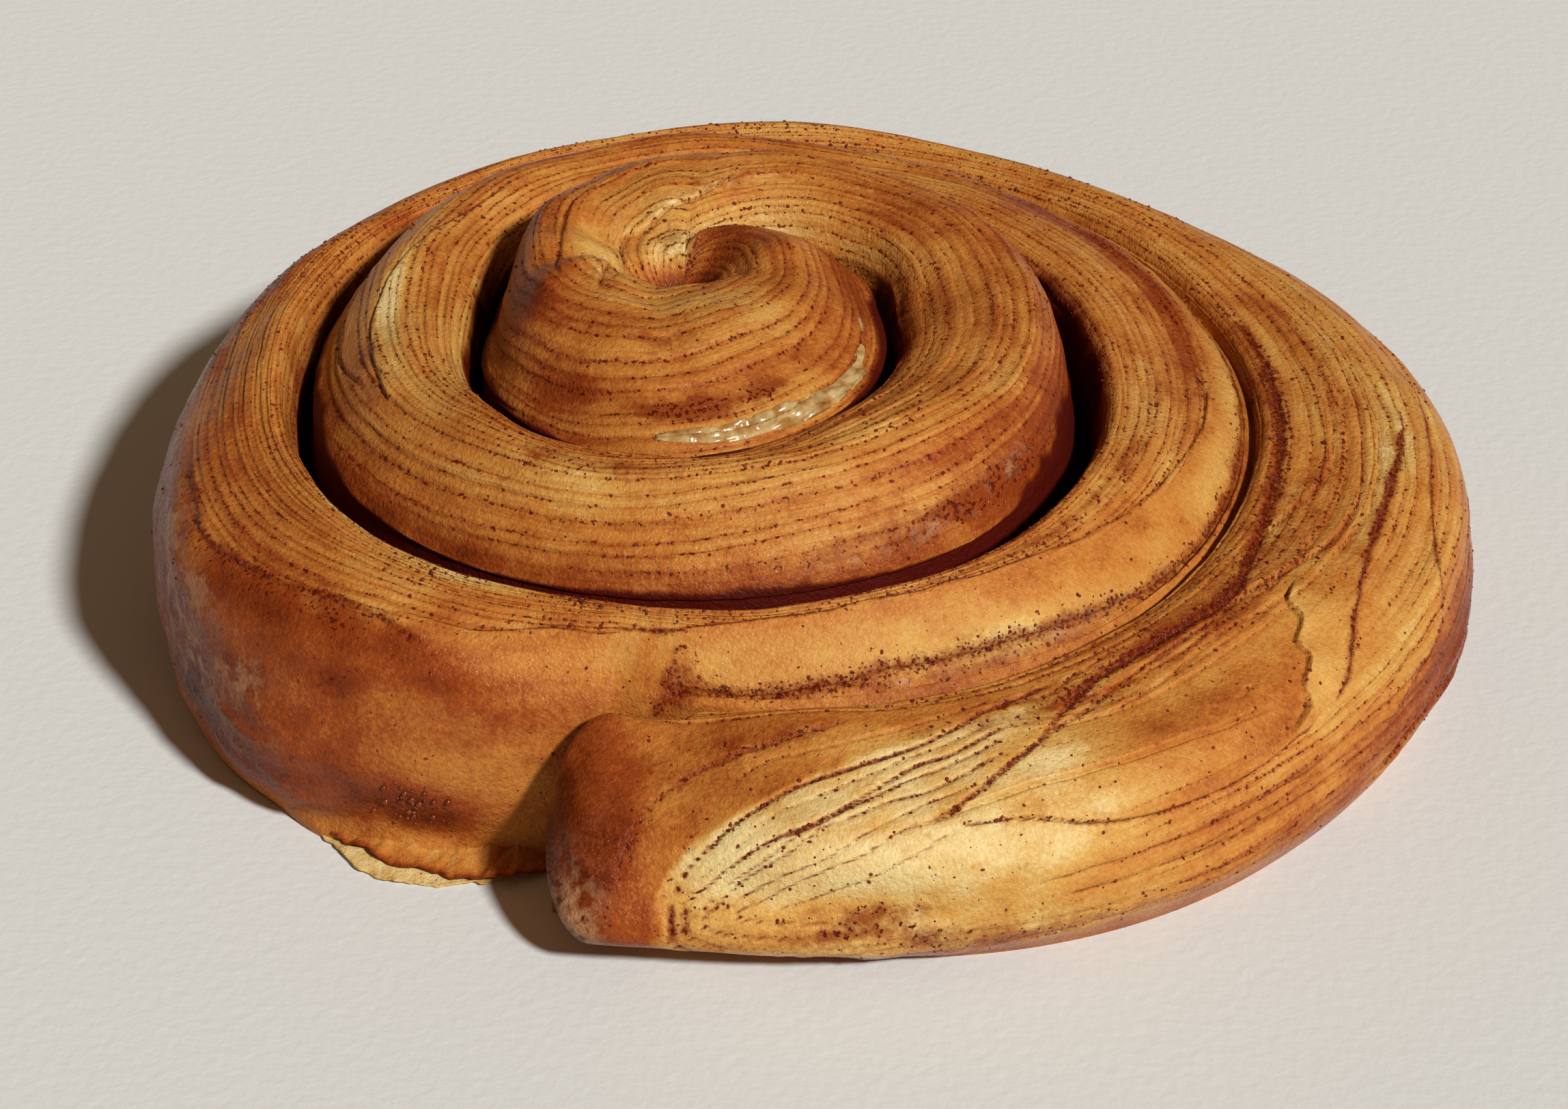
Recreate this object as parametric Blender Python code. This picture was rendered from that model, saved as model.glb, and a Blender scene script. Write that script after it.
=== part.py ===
"""A coiled, layered cinnamon roll as one solid, in metres, +Z up.

One strip of laminated dough is wound anticlockwise inward, seen from above,
for about three and a half turns. A point on it is named by theta, the degrees
wound so far, and by a row that runs from the strip's outer side to its inner
side. Each coil's inner edge is the next coil's outer edge, so the coils meet
in grooves and the whole is one closed surface. Lengths inside are millimetres.
"""

import math

import bmesh
import bpy
import numpy as np

NODE = "cinnamon_roll"
MM = 0.001

# The coil: angles in degrees, 0 at +X, growing anticlockwise and inward.
TAIL = 264.0            # where the outer end of the strip starts
CLOSES = 1160.0         # where the innermost groove runs into the hollow
TIP = CLOSES + 360.0    # where the strip ends, at the edge of the hollow
POLE = np.array([-12.0, 9.0])
HOLLOW = np.array([-14.4, 9.8])
HOLLOW_RADIUS = 2.2
HOLLOW_FLOOR = 22.0
BASE_MIDDLE = (-1.0, -1.0, 0.0)      # sees the whole rim of the base

# Distance of the outer wall from the pole, at its widest, each eighth turn from 270.
WALL_RADIUS = (58.6, 65.9, 67.0, 53.0, 45.6, 43.0, 44.4, 50.4, 44.4)
WALL_BULGE = 1.8        # how far the wall swells past its foot
SHOULDER_DROP = 2.6     # from the crown of a coil down to the top of its wall

# Distance of the groove from the pole, each eighth turn from 225 to 1080.
GROOVE_RADIUS = (
    35.0, 44.2, 49.3, 48.0, 42.5, 36.5, 33.6, 32.5, 36.0,
    38.3, 38.3, 32.8, 28.4, 24.3, 19.8, 17.5, 22.8,
    25.6, 21.4, 16.6,
)

# Each quarter turn from 270: front, right, back, left, then round again.
RIM_HEIGHT = (16.9, 17.8, 19.4, 20.8, 22.0, 22.5, 23.4, 24.6, 27.2, 26.6, 28.5, 29.0, 29.4, 29.0, 28.0)
CROWN_HEIGHT = (16.6, 17.5, 21.0, 21.4, 21.6, 20.4, 25.0, 26.2, 28.3, 28.4, 29.8, 31.3, 32.0, 31.3, 29.0)
CROWN_ACROSS = (0.55, 0.38, 0.50, 0.52, 0.62, 0.27, 0.42, 0.44, 0.62, 0.25, 0.25, 0.30, 0.45, 0.40, 0.50)
# Where the groove is open: from, to, and how much deeper it is there.
SHALLOW = 1.2
OPEN_SPANS = (
    (455.0, 560.0, 700.0, 790.0, 7.0),
    (835.0, 890.0, 940.0, 985.0, 6.5),
    (1010.0, 1060.0, 1300.0, 1400.0, 7.5),
)
INNER_EDGE = (1.4, 1.8, 1.8, 1.6, 1.1, 2.4, 2.2, 1.6, 1.6, 2.2, 7.0, 3.5, 3.5, 3.5, 1.5)

NOSE_BULGE = 4.5        # how far the strip's outer end swells out
NOSE_DROP, NOSE_TUCK = 2.4, 1.6     # it lies lower there, and its wall stands back
NOSE_TURN = 20.0        # degrees that both take
CREVICE_TURN = 9.0      # degrees in which the crevice behind the nose closes
SKIRT_REACH = 4.8       # thin foot of dough that ran out at the front left
SKIRT_AT, SKIRT_TURN = 600.0, 10.0
SKIRT_THICK = 1.5
LAYER_RELIEF = 0.22     # the cut layers stand this far above and below the crust
# Swells and dents: theta and row of the middle, how far they spread each way, and their height.
LUMPS = (
    (318.0, 4.3, 6.0, 0.5, 0.9),        # blister at the front right
    (331.0, 4.7, 5.0, 0.5, 0.6),
    (341.0, 4.2, 6.0, 0.5, -0.7),       # pull between two torn flakes
    (308.0, 5.0, 8.0, 0.5, -0.5),
    (295.0, 3.0, 10.0, 0.8, 0.8),       # swollen side near the strip's end
    (281.0, 2.2, 7.0, 0.6, -0.7),
    (589.0, 1.6, 7.0, 0.9, 1.2),        # where the syrup set at the front left
    (561.0, 3.2, 8.0, 0.7, -0.8),
    (1290.0, 5.5, 13.0, 0.5, 0.8),      # the fold over the hollow
    (1228.0, 5.8, 13.0, 0.4, -1.0),     # the crease behind it
    (848.0, 5.4, 12.0, 0.5, 0.7),
    (722.0, 5.3, 14.0, 0.5, -0.6),
    (430.0, 4.8, 11.0, 0.6, 0.6),
    (478.0, 3.1, 12.0, 0.9, -0.8),
)

# The mesh: degrees after the strip's start where spans of columns begin and end, and
# how many columns each holds; then how many rows lie between the points of a section.
COLUMN_SPANS = ((0.0, 176.0, 26), (176.0, 360.0, 27))
NOSE_COLUMNS = (3.0,)
NOSE_SWINGS = (20.0, 42.0, 66.0)
ROWS_PER_SPAN = (3, 2, 1, 2, 6, 7, 2)
TOP_ROWS = (4.05, 6.05)     # the part of a section that faces up

CRUST_COLOUR = (0.42, 0.17, 0.045, 1.0)     # browned laminated dough
CRUST_ROUGHNESS = 0.55
SMOOTH_BELOW = math.radians(50.0)


def smooth_step(x):
    """0 below 0, 1 above 1, and a soft rise between."""
    x = np.clip(x, 0.0, 1.0)
    return x * x * (3.0 - 2.0 * x)


def catmull_rom(values, x):
    """The curve through evenly spaced values, at positions x counted in values."""
    values = np.asarray(values, float)
    x = np.clip(x, 0.0, len(values) - 1.0)
    at = np.minimum(x.astype(int), len(values) - 2)
    f = x - at
    a = values[np.maximum(at - 1, 0)]
    b, c = values[at], values[at + 1]
    d = values[np.minimum(at + 2, len(values) - 1)]
    curve = 2 * b + (c - a) * f + (2 * a - 5 * b + 4 * c - d) * f**2
    return 0.5 * (curve + (3 * b - a - 3 * c + d) * f**3)


def along(values, theta, step):
    """A size given each step degrees from 270, at any theta."""
    return catmull_rom(values, (theta - 270.0) / step)


def direction(theta):
    turned = np.radians(theta)
    return np.stack([np.cos(turned), np.sin(turned)], -1)


def groove_point(theta):
    """Where the strip's inner edge runs, in plan."""
    closing = np.clip((theta - 1080.0) / (CLOSES - 1080.0), 0.0, 1.0)
    radius = along(GROOVE_RADIUS, theta + 45.0, 45.0)
    radius = HOLLOW_RADIUS + (radius - HOLLOW_RADIUS) * (1.0 - closing**2.4)
    moved = smooth_step((theta - 1080.0) / 70.0)[..., None]
    return POLE + (HOLLOW - POLE) * moved + radius[..., None] * direction(theta)


def groove_depth(theta):
    """How far the groove goes down below the rims beside it."""
    depth = SHALLOW
    for opens, opened, closes, closed, extra in OPEN_SPANS:
        risen = smooth_step((theta - opens) / (opened - opens))
        depth = depth + extra * risen * (1.0 - smooth_step((theta - closes) / (closed - closes)))
    return depth


def groove_floor(theta):
    """Height of the bottom of the groove on the strip's inner side."""
    floor = along(RIM_HEIGHT, theta, 90.0) - groove_depth(theta)
    floor = floor + (HOLLOW_FLOOR - floor) * smooth_step((theta - 1100.0) / (CLOSES - 1100.0))
    return floor * smooth_step((theta - TAIL) / CREVICE_TURN)


def section(theta):
    """Points that a cut across the strip passes through: reach inward, and height.

    It also returns the two ends of the cut in plan."""
    first = theta < TAIL + 360.0 - 1e-6
    inner = groove_point(theta)
    nose = 1.0 - smooth_step((theta - TAIL) / NOSE_TURN)
    wall = along(WALL_RADIUS, theta, 45.0) - WALL_BULGE - NOSE_TUCK * nose
    foot = POLE + wall[..., None] * direction(theta)
    outer = np.where(first[..., None], foot, groove_point(theta - 360.0))
    width = np.linalg.norm(inner - outer, axis=-1)

    walled = 1.0 - smooth_step((theta - 594.0) / 54.0)
    outer_floor = np.where(first, 0.0, groove_floor(theta - 360.0))
    inner_floor = groove_floor(theta)
    body = 1.0 - (1.0 - np.clip(width / 9.0, 0.0, 1.0)) ** 2
    body = np.where(theta > TIP - 120.0, body, 1.0)

    crown = along(CROWN_HEIGHT, theta, 90.0) - NOSE_DROP * nose
    rim = along(RIM_HEIGHT, theta, 90.0) + 0.5 - NOSE_DROP * nose
    shoulder = crown - SHOULDER_DROP
    outer_rim = along(RIM_HEIGHT, theta - 360.0, 90.0) - 0.1
    top = walled * shoulder + (1.0 - walled) * outer_rim
    crown = inner_floor + (crown - inner_floor) * body
    rim = inner_floor + (rim - inner_floor) * body
    top = outer_floor + (top - outer_floor) * np.where(theta > TIP - 120.0, body, 1.0)

    lip = np.minimum(1.0, width / 6.0)
    across = along(CROWN_ACROSS, theta, 90.0)
    edge = np.minimum(along(INNER_EDGE, theta, 90.0), 0.42 * width)
    reach, height = [], []
    spans = ((0.0, 0.0, 0.0, 0.0), (-0.7, 0.25, 0.2, 0.3), (-1.0, 0.5, 0.5, 0.6),
             (-0.55, 0.8, 0.8, 0.85), (0.55, 1.25, 1.0, 1.0))
    for swell, gap, wall_part, groove_part in spans:
        reach.append(walled * swell * WALL_BULGE + (1.0 - walled) * gap * lip)
        part = walled * wall_part + (1.0 - walled) * groove_part
        height.append(outer_floor + (top - outer_floor) * part)
    reach += [across * width, width - edge, width]
    height += [crown, rim, inner_floor]
    return np.stack(reach, -1), np.stack(height, -1), outer, inner


def skirt(theta, height):
    """The thin foot of dough past the wall, at the front left."""
    spread = np.exp(-(((theta - SKIRT_AT) / SKIRT_TURN) ** 4))
    return SKIRT_REACH * spread * np.exp(-((height / SKIRT_THICK) ** 2))


def uneven(theta, rows):
    """Swell and sag of dough wound by hand, in mm, none of it at the grooves."""
    turn = math.radians(theta)
    sway = 0.32 * np.sin(2.3 * turn + 0.9 * rows) + 0.22 * np.sin(5.1 * turn - 1.7 * rows + 1.0)
    sway = sway + 0.14 * np.sin(9.7 * turn + 2.6 * rows + 2.0)
    for middle, row, spread, across, height in LUMPS:
        near = ((theta - middle) / spread) ** 2 + ((rows - row) / across) ** 2
        sway = sway + height * np.exp(-near)
    return sway * smooth_step(rows / 1.5) * smooth_step((6.8 - rows) / 0.8)


def layer_ridge(theta, rows):
    """Which rows stand up and which lie low, on the part that faces up."""
    lift = np.where(np.arange(len(rows)) % 2 == 0, 1.0, -1.0)
    strength = 1.0 + 0.45 * np.sin(3.7 * math.radians(theta) + 1.3 * rows)
    return LAYER_RELIEF * strength * lift * ((rows > TOP_ROWS[0]) & (rows < TOP_ROWS[1]))


def surface(theta, rows):
    """Points of the roll: one line of them, along rows, for each theta."""
    reach, height, outer, inner = section(theta)
    points = np.empty((len(theta), len(rows), 3))
    gap = inner - outer
    width = np.linalg.norm(gap, axis=-1)
    inward = gap / np.maximum(width, 1e-9)[:, None]
    upward = smooth_step(rows - 3.3)
    for j in range(len(theta)):
        d = catmull_rom(reach[j], rows)
        z = catmull_rom(height[j], rows)
        narrow = min(1.0, width[j] / 7.0)
        out = uneven(theta[j], rows) * narrow
        z = z + out * upward + layer_ridge(theta[j], rows) * narrow
        if theta[j] < TAIL + 360.0 - 1e-6:
            d = d - out * (1.0 - upward) - skirt(theta[j], z)
        points[j, :, :2] = outer[j] + d[:, None] * inward[j]
        points[j, :, 2] = np.maximum(z, 0.0)
    return points


def column_angles():
    """One turn's columns, and then every turn's: the same angles come round each time."""
    turn = set(NOSE_COLUMNS)
    for start, stop, count in COLUMN_SPANS:
        turn |= set(np.linspace(start, stop, count, endpoint=False))
    turn = np.array(sorted(turn))
    every = np.concatenate([TAIL + turn + 360.0 * k for k in range(4)])
    return len(turn), every[every <= TIP + 1e-6]


def row_places():
    rows = [0.0]
    for k, count in enumerate(ROWS_PER_SPAN):
        rows += [k + (i + 1) / count for i in range(count)]
    return np.array(rows)


def numbered(points, per_turn):
    """One number for each place in the grid; edges that two coils share get the same one."""
    last, top = len(points) - 1, points.shape[1] - 1
    index = np.zeros(points.shape[:2], int)
    vertices = []
    for j in range(last + 1):
        for i in range(top + 1):
            shared = (i == 0 and j >= per_turn) or j == last
            if shared:
                index[j, i] = index[j - per_turn, top]
            else:
                index[j, i] = len(vertices)
                vertices.append(points[j, i])
    return index, vertices


def add_faces(faces, *corners):
    """Cuts a polygon of corners into triangles, leaving out those with no area."""
    for b, c in zip(corners[1:], corners[2:]):
        if len({corners[0], b, c}) == 3:
            faces.append((corners[0], b, c))


def add_fan(vertices, faces, loop, centre):
    """Closes a loop of vertices with triangles to one new point."""
    vertices.append(np.asarray(centre, float))
    for a, b in zip(loop, loop[1:] + loop[:1]):
        add_faces(faces, a, b, len(vertices) - 1)


def add_nose(vertices, faces, rim):
    """Closes the strip's outer end with a swollen, rounded face."""
    across = direction(np.array(TAIL))
    leftward = np.array([across[1], -across[0], 0.0])
    middle = np.mean([vertices[k] for k in rim], axis=0) * (1.0, 1.0, 0.86)
    loop = rim
    for swing in NOSE_SWINGS:
        shrink, swell = math.cos(math.radians(swing)), math.sin(math.radians(swing))
        ring = []
        for k in rim:
            vertices.append(middle + (vertices[k] - middle) * shrink + leftward * NOSE_BULGE * swell)
            ring.append(len(vertices) - 1)
        for a, b, c, d in zip(loop, loop[1:] + loop[:1], ring[1:] + ring[:1], ring):
            add_faces(faces, a, b, c, d)
        loop = ring
    add_fan(vertices, faces, loop, middle + leftward * NOSE_BULGE)


def roll_mesh():
    """Vertices, in mm, and triangles of the closed roll."""
    per_turn, theta = column_angles()
    rows = row_places()
    index, vertices = numbered(surface(theta, rows), per_turn)
    last, top = len(theta) - 1, len(rows) - 1
    faces = []
    for j in range(last):
        for i in range(top):
            add_faces(faces, index[j, i], index[j + 1, i], index[j + 1, i + 1], index[j, i + 1])
    add_nose(vertices, faces, [index[0, i] for i in range(top + 1)])
    add_fan(vertices, faces, [index[j, 0] for j in range(per_turn, -1, -1)], BASE_MIDDLE)
    hollow = [index[j, top] for j in range(last - per_turn, last)]
    add_fan(vertices, faces, hollow, (HOLLOW[0], HOLLOW[1], HOLLOW_FLOOR - 0.3))
    return np.array(vertices), faces


def crust_material():
    crust = bpy.data.materials.new("browned_dough")
    crust.use_nodes = True
    shader = crust.node_tree.nodes["Principled BSDF"]
    shader.inputs["Base Color"].default_value = CRUST_COLOUR
    shader.inputs["Roughness"].default_value = CRUST_ROUGHNESS
    shader.inputs["Metallic"].default_value = 0.0
    return crust


def build():
    for obj in list(bpy.context.scene.objects):
        bpy.data.objects.remove(obj, do_unlink=True)
    points, faces = roll_mesh()
    low, high = points.min(axis=0), points.max(axis=0)
    middle = (low + high) / 2.0
    points = (points - (middle[0], middle[1], low[2])) * MM
    mesh = bpy.data.meshes.new(NODE)
    mesh.from_pydata(points.tolist(), [], faces)
    mesh.materials.append(crust_material())
    sewn = bmesh.new()
    sewn.from_mesh(mesh)
    bmesh.ops.recalc_face_normals(sewn, faces=sewn.faces)
    sewn.to_mesh(mesh)
    sewn.free()
    mesh.shade_smooth()
    mesh.set_sharp_from_angle(angle=SMOOTH_BELOW)
    roll = bpy.data.objects.new(NODE, mesh)
    bpy.context.collection.objects.link(roll)


build()
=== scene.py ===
"""The looks of a coiled, layered cinnamon roll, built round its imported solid.

The dough is one strip wound anticlockwise inward. A point on it is named by
theta, the degrees wound so far, and by a row that runs from the strip's outer
side, 0, over its crown, 5, to the groove on its inner side, 7. The form is the
solid's own. On it come the cut layers, the torn sheets, the cinnamon, the glaze and
the caramel. Lengths inside are millimetres until a mesh is made.
"""

import math

import bpy
import numpy as np
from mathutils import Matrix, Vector


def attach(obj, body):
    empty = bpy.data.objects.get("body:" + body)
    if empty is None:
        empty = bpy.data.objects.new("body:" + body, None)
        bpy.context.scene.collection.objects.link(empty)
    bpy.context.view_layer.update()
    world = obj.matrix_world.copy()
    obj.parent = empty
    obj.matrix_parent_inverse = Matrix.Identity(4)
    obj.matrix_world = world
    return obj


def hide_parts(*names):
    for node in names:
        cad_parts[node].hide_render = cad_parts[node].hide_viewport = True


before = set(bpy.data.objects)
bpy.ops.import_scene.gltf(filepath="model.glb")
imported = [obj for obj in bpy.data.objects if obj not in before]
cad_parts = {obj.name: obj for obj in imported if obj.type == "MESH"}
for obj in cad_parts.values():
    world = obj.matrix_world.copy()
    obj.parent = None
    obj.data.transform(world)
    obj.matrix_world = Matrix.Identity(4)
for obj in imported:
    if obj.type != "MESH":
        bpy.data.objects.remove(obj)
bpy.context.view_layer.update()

bl_info = {
    "name": "Cinnamon roll",
    "version": (1, 0, 0),
    "blender": (4, 5, 0),
    "location": "3D View > Sidebar > Bakery",
    "description": "Builds the crust, layers, cinnamon, glaze and caramel of a coiled cinnamon roll",
    "category": "Add Mesh",
}

NODE = "cinnamon_roll"
BODY = "root"
MM = 0.001

# ---------------------------------------------------------------- the form, as in the solid

TAIL = 264.0                        # where the strip's outer end lies
SECOND_TURN = TAIL + 360.0 - 1e-6   # past it, the strip lies against its own first turn
CLOSING, CLOSES = 1080.0, 1160.0    # the last groove narrows and ends
TIP = CLOSES + 360.0
POLE = np.array([-12.0, 9.0])       # the coil's middle in plan, and that of the knob's hollow
HOLLOW = np.array([-14.4, 9.8])
HOLLOW_RADIUS = 0.12        # the solid ends its groove 2.2 mm out; the skin closes the dip here
HOLLOW_FLOOR = 22.0
# Radii each 45 degrees, the wall's from theta 270 and the groove's from 225. The heights of the
# groove's rims and of the crown, the crown's place across the strip, as a part of its width, and
# the width of the strip's inner edge, each 90 degrees from 270.
WALL_RADIUS = (58.6, 65.9, 67, 53, 45.6, 43, 44.4, 50.4, 44.4)
WALL_BULGE = 1.8
SHOULDER_DROP = 2.6
GROOVE_RADIUS = (
    35, 44.2, 49.3, 48, 42.5, 36.5, 33.6, 32.5, 36, 38.3, 38.3, 32.8, 28.4, 24.3, 19.8, 17.5, 22.8, 25.6,
    21.4, 16.6,
)
RIM_HEIGHT = (16.9, 17.8, 19.4, 20.8, 22, 22.5, 23.4, 24.6, 27.2, 26.6, 28.5, 29, 29.4, 29, 28)
CROWN_HEIGHT = (16.6, 17.5, 21, 21.4, 21.6, 20.4, 25, 26.2, 28.3, 28.4, 29.8, 31.3, 32, 31.3, 29)
CROWN_ACROSS = (0.55, 0.38, 0.5, 0.52, 0.62, 0.27, 0.42, 0.44, 0.62, 0.25, 0.25, 0.3, 0.45, 0.4, 0.5)
# A groove goes down by SHALLOW, and further where it is open: it opens from one theta to the
# next, closes from one to the next, and is so much deeper between them.
SHALLOW = 1.2
OPEN_SPANS = ((455, 560, 700, 790, 7), (835, 890, 940, 985, 6.5), (1010, 1060, 1300, 1400, 7.5))
INNER_EDGE = (1.4, 1.8, 1.8, 1.6, 1.1, 2.4, 2.2, 1.6, 1.6, 2.2, 7, 3.5, 3.5, 3.5, 1.5)
NOSE_BULGE, NOSE_LOW = 4.5, 0.86     # how far the rounded end stands out, and how low its middle is
NOSE_DROP, NOSE_TUCK = 2.4, 1.6
NOSE_TURN = 20.0
CREVICE_TURN = 9.0
SKIRT_REACH = 1.5
SKIRT_AT, SKIRT_TURN = 600.0, 10.0
SKIRT_THICK = 1.5
# Swells and dents of the dough: theta, row, their spreads and height.
LUMPS = (
    (318, 4.3, 6, 0.5, 0.9), (331, 4.7, 5, 0.5, 0.6), (341, 4.2, 6, 0.5, -0.7), (308, 5, 8, 0.5, -0.5),
    (295, 3, 10, 0.8, 0.8), (281, 2.2, 7, 0.6, -0.7), (589, 1.6, 7, 0.9, 1.2), (561, 3.2, 8, 0.7, -0.8),
    (1290, 5.5, 13, 0.5, 0.8), (1228, 5.8, 13, 0.4, -1), (848, 5.4, 12, 0.5, 0.7),
    (722, 5.3, 14, 0.5, -0.6), (430, 4.8, 11, 0.6, 0.6), (478, 3.1, 12, 0.9, -0.8),
)
FORM_SHIFT = np.array([0.8995, -2.7580, 0.0])     # from the coil's own place to the solid's
HEART_SHIFT = np.array([1.9, 0.3])                # from the solid's hollow to the finer one
HEART_MIDDLE = HOLLOW + FORM_SHIFT[:2] + HEART_SHIFT

# ---------------------------------------------------------------- the finer mesh

# Each coil's columns: from, to and the degrees between them, finest where layers cross it.
OUTER_COLUMNS = (
    (264, 300, 0.5), (300, 317, 0.6), (317, 331, 0.22), (331, 352, 0.6), (352, 404, 1.2), (404, 540, 2),
    (540, 630, 1),
)
MIDDLE_COLUMNS = ((630, 702, 0.8), (702, 792, 1), (792, 882, 1.5), (882, 1010, 0.8))
HEART_COLUMNS = ((1010, 1100, 0.9), (1100, 1196, 1.6), (1196, 1436, 1.2), (1436, 1520, 2))
ROWS_PER_SPAN = (14, 18, 18, 22, 46, 50, 32)
NOSE_RINGS, NOSE_LEAD = 16, 6.0     # columns of the rounded end, and the degrees they count for
OVERLAP = 0.8               # degrees a coil's grid reaches into the next one
OVERHANG, KERB = 0.4, 0.6   # the hidden side under a groove: how far it leans out, and its height
HEART_FLOOR = 23.0          # the heart's hidden side goes no higher

# Layers of dough between the section's points, each quarter turn from 270.
LAYERS = (
    (2, 3, 3, 3, 4, 5, 6), (3, 4, 4, 3, 5, 7, 6), (3, 4, 4, 3, 7, 7, 6), (3, 4, 4, 3, 8, 8, 8),
    (4, 3, 3, 2, 7, 13, 8), (4, 3, 3, 2, 7, 10, 8), (4, 3, 3, 2, 8, 8, 8), (4, 3, 3, 2, 7, 9, 8),
    (4, 3, 3, 3, 8, 9, 8), (4, 3, 3, 3, 9, 9, 8), (4, 3, 3, 3, 8, 8, 8), (5, 4, 3, 3, 7, 7, 6),
    (5, 4, 3, 3, 8, 9, 6), (5, 4, 3, 3, 8, 8, 6), (5, 4, 3, 3, 7, 7, 6),
)
LAYER_DRIFT = 0.02          # layers crossed for each degree wound

# Where the smooth ledge behind the strip's end stops and its cut lip begins: theta and row.
LEDGE_LIP = (
    (596, 609, 616, 631, 638, 650, 664, 680, 694, 716, 745, 775),
    (4.3, 4.52, 4.72, 4.92, 5.3, 5.43, 5.4, 5.25, 5.12, 4.98, 4.9, 4.2),
)

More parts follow.
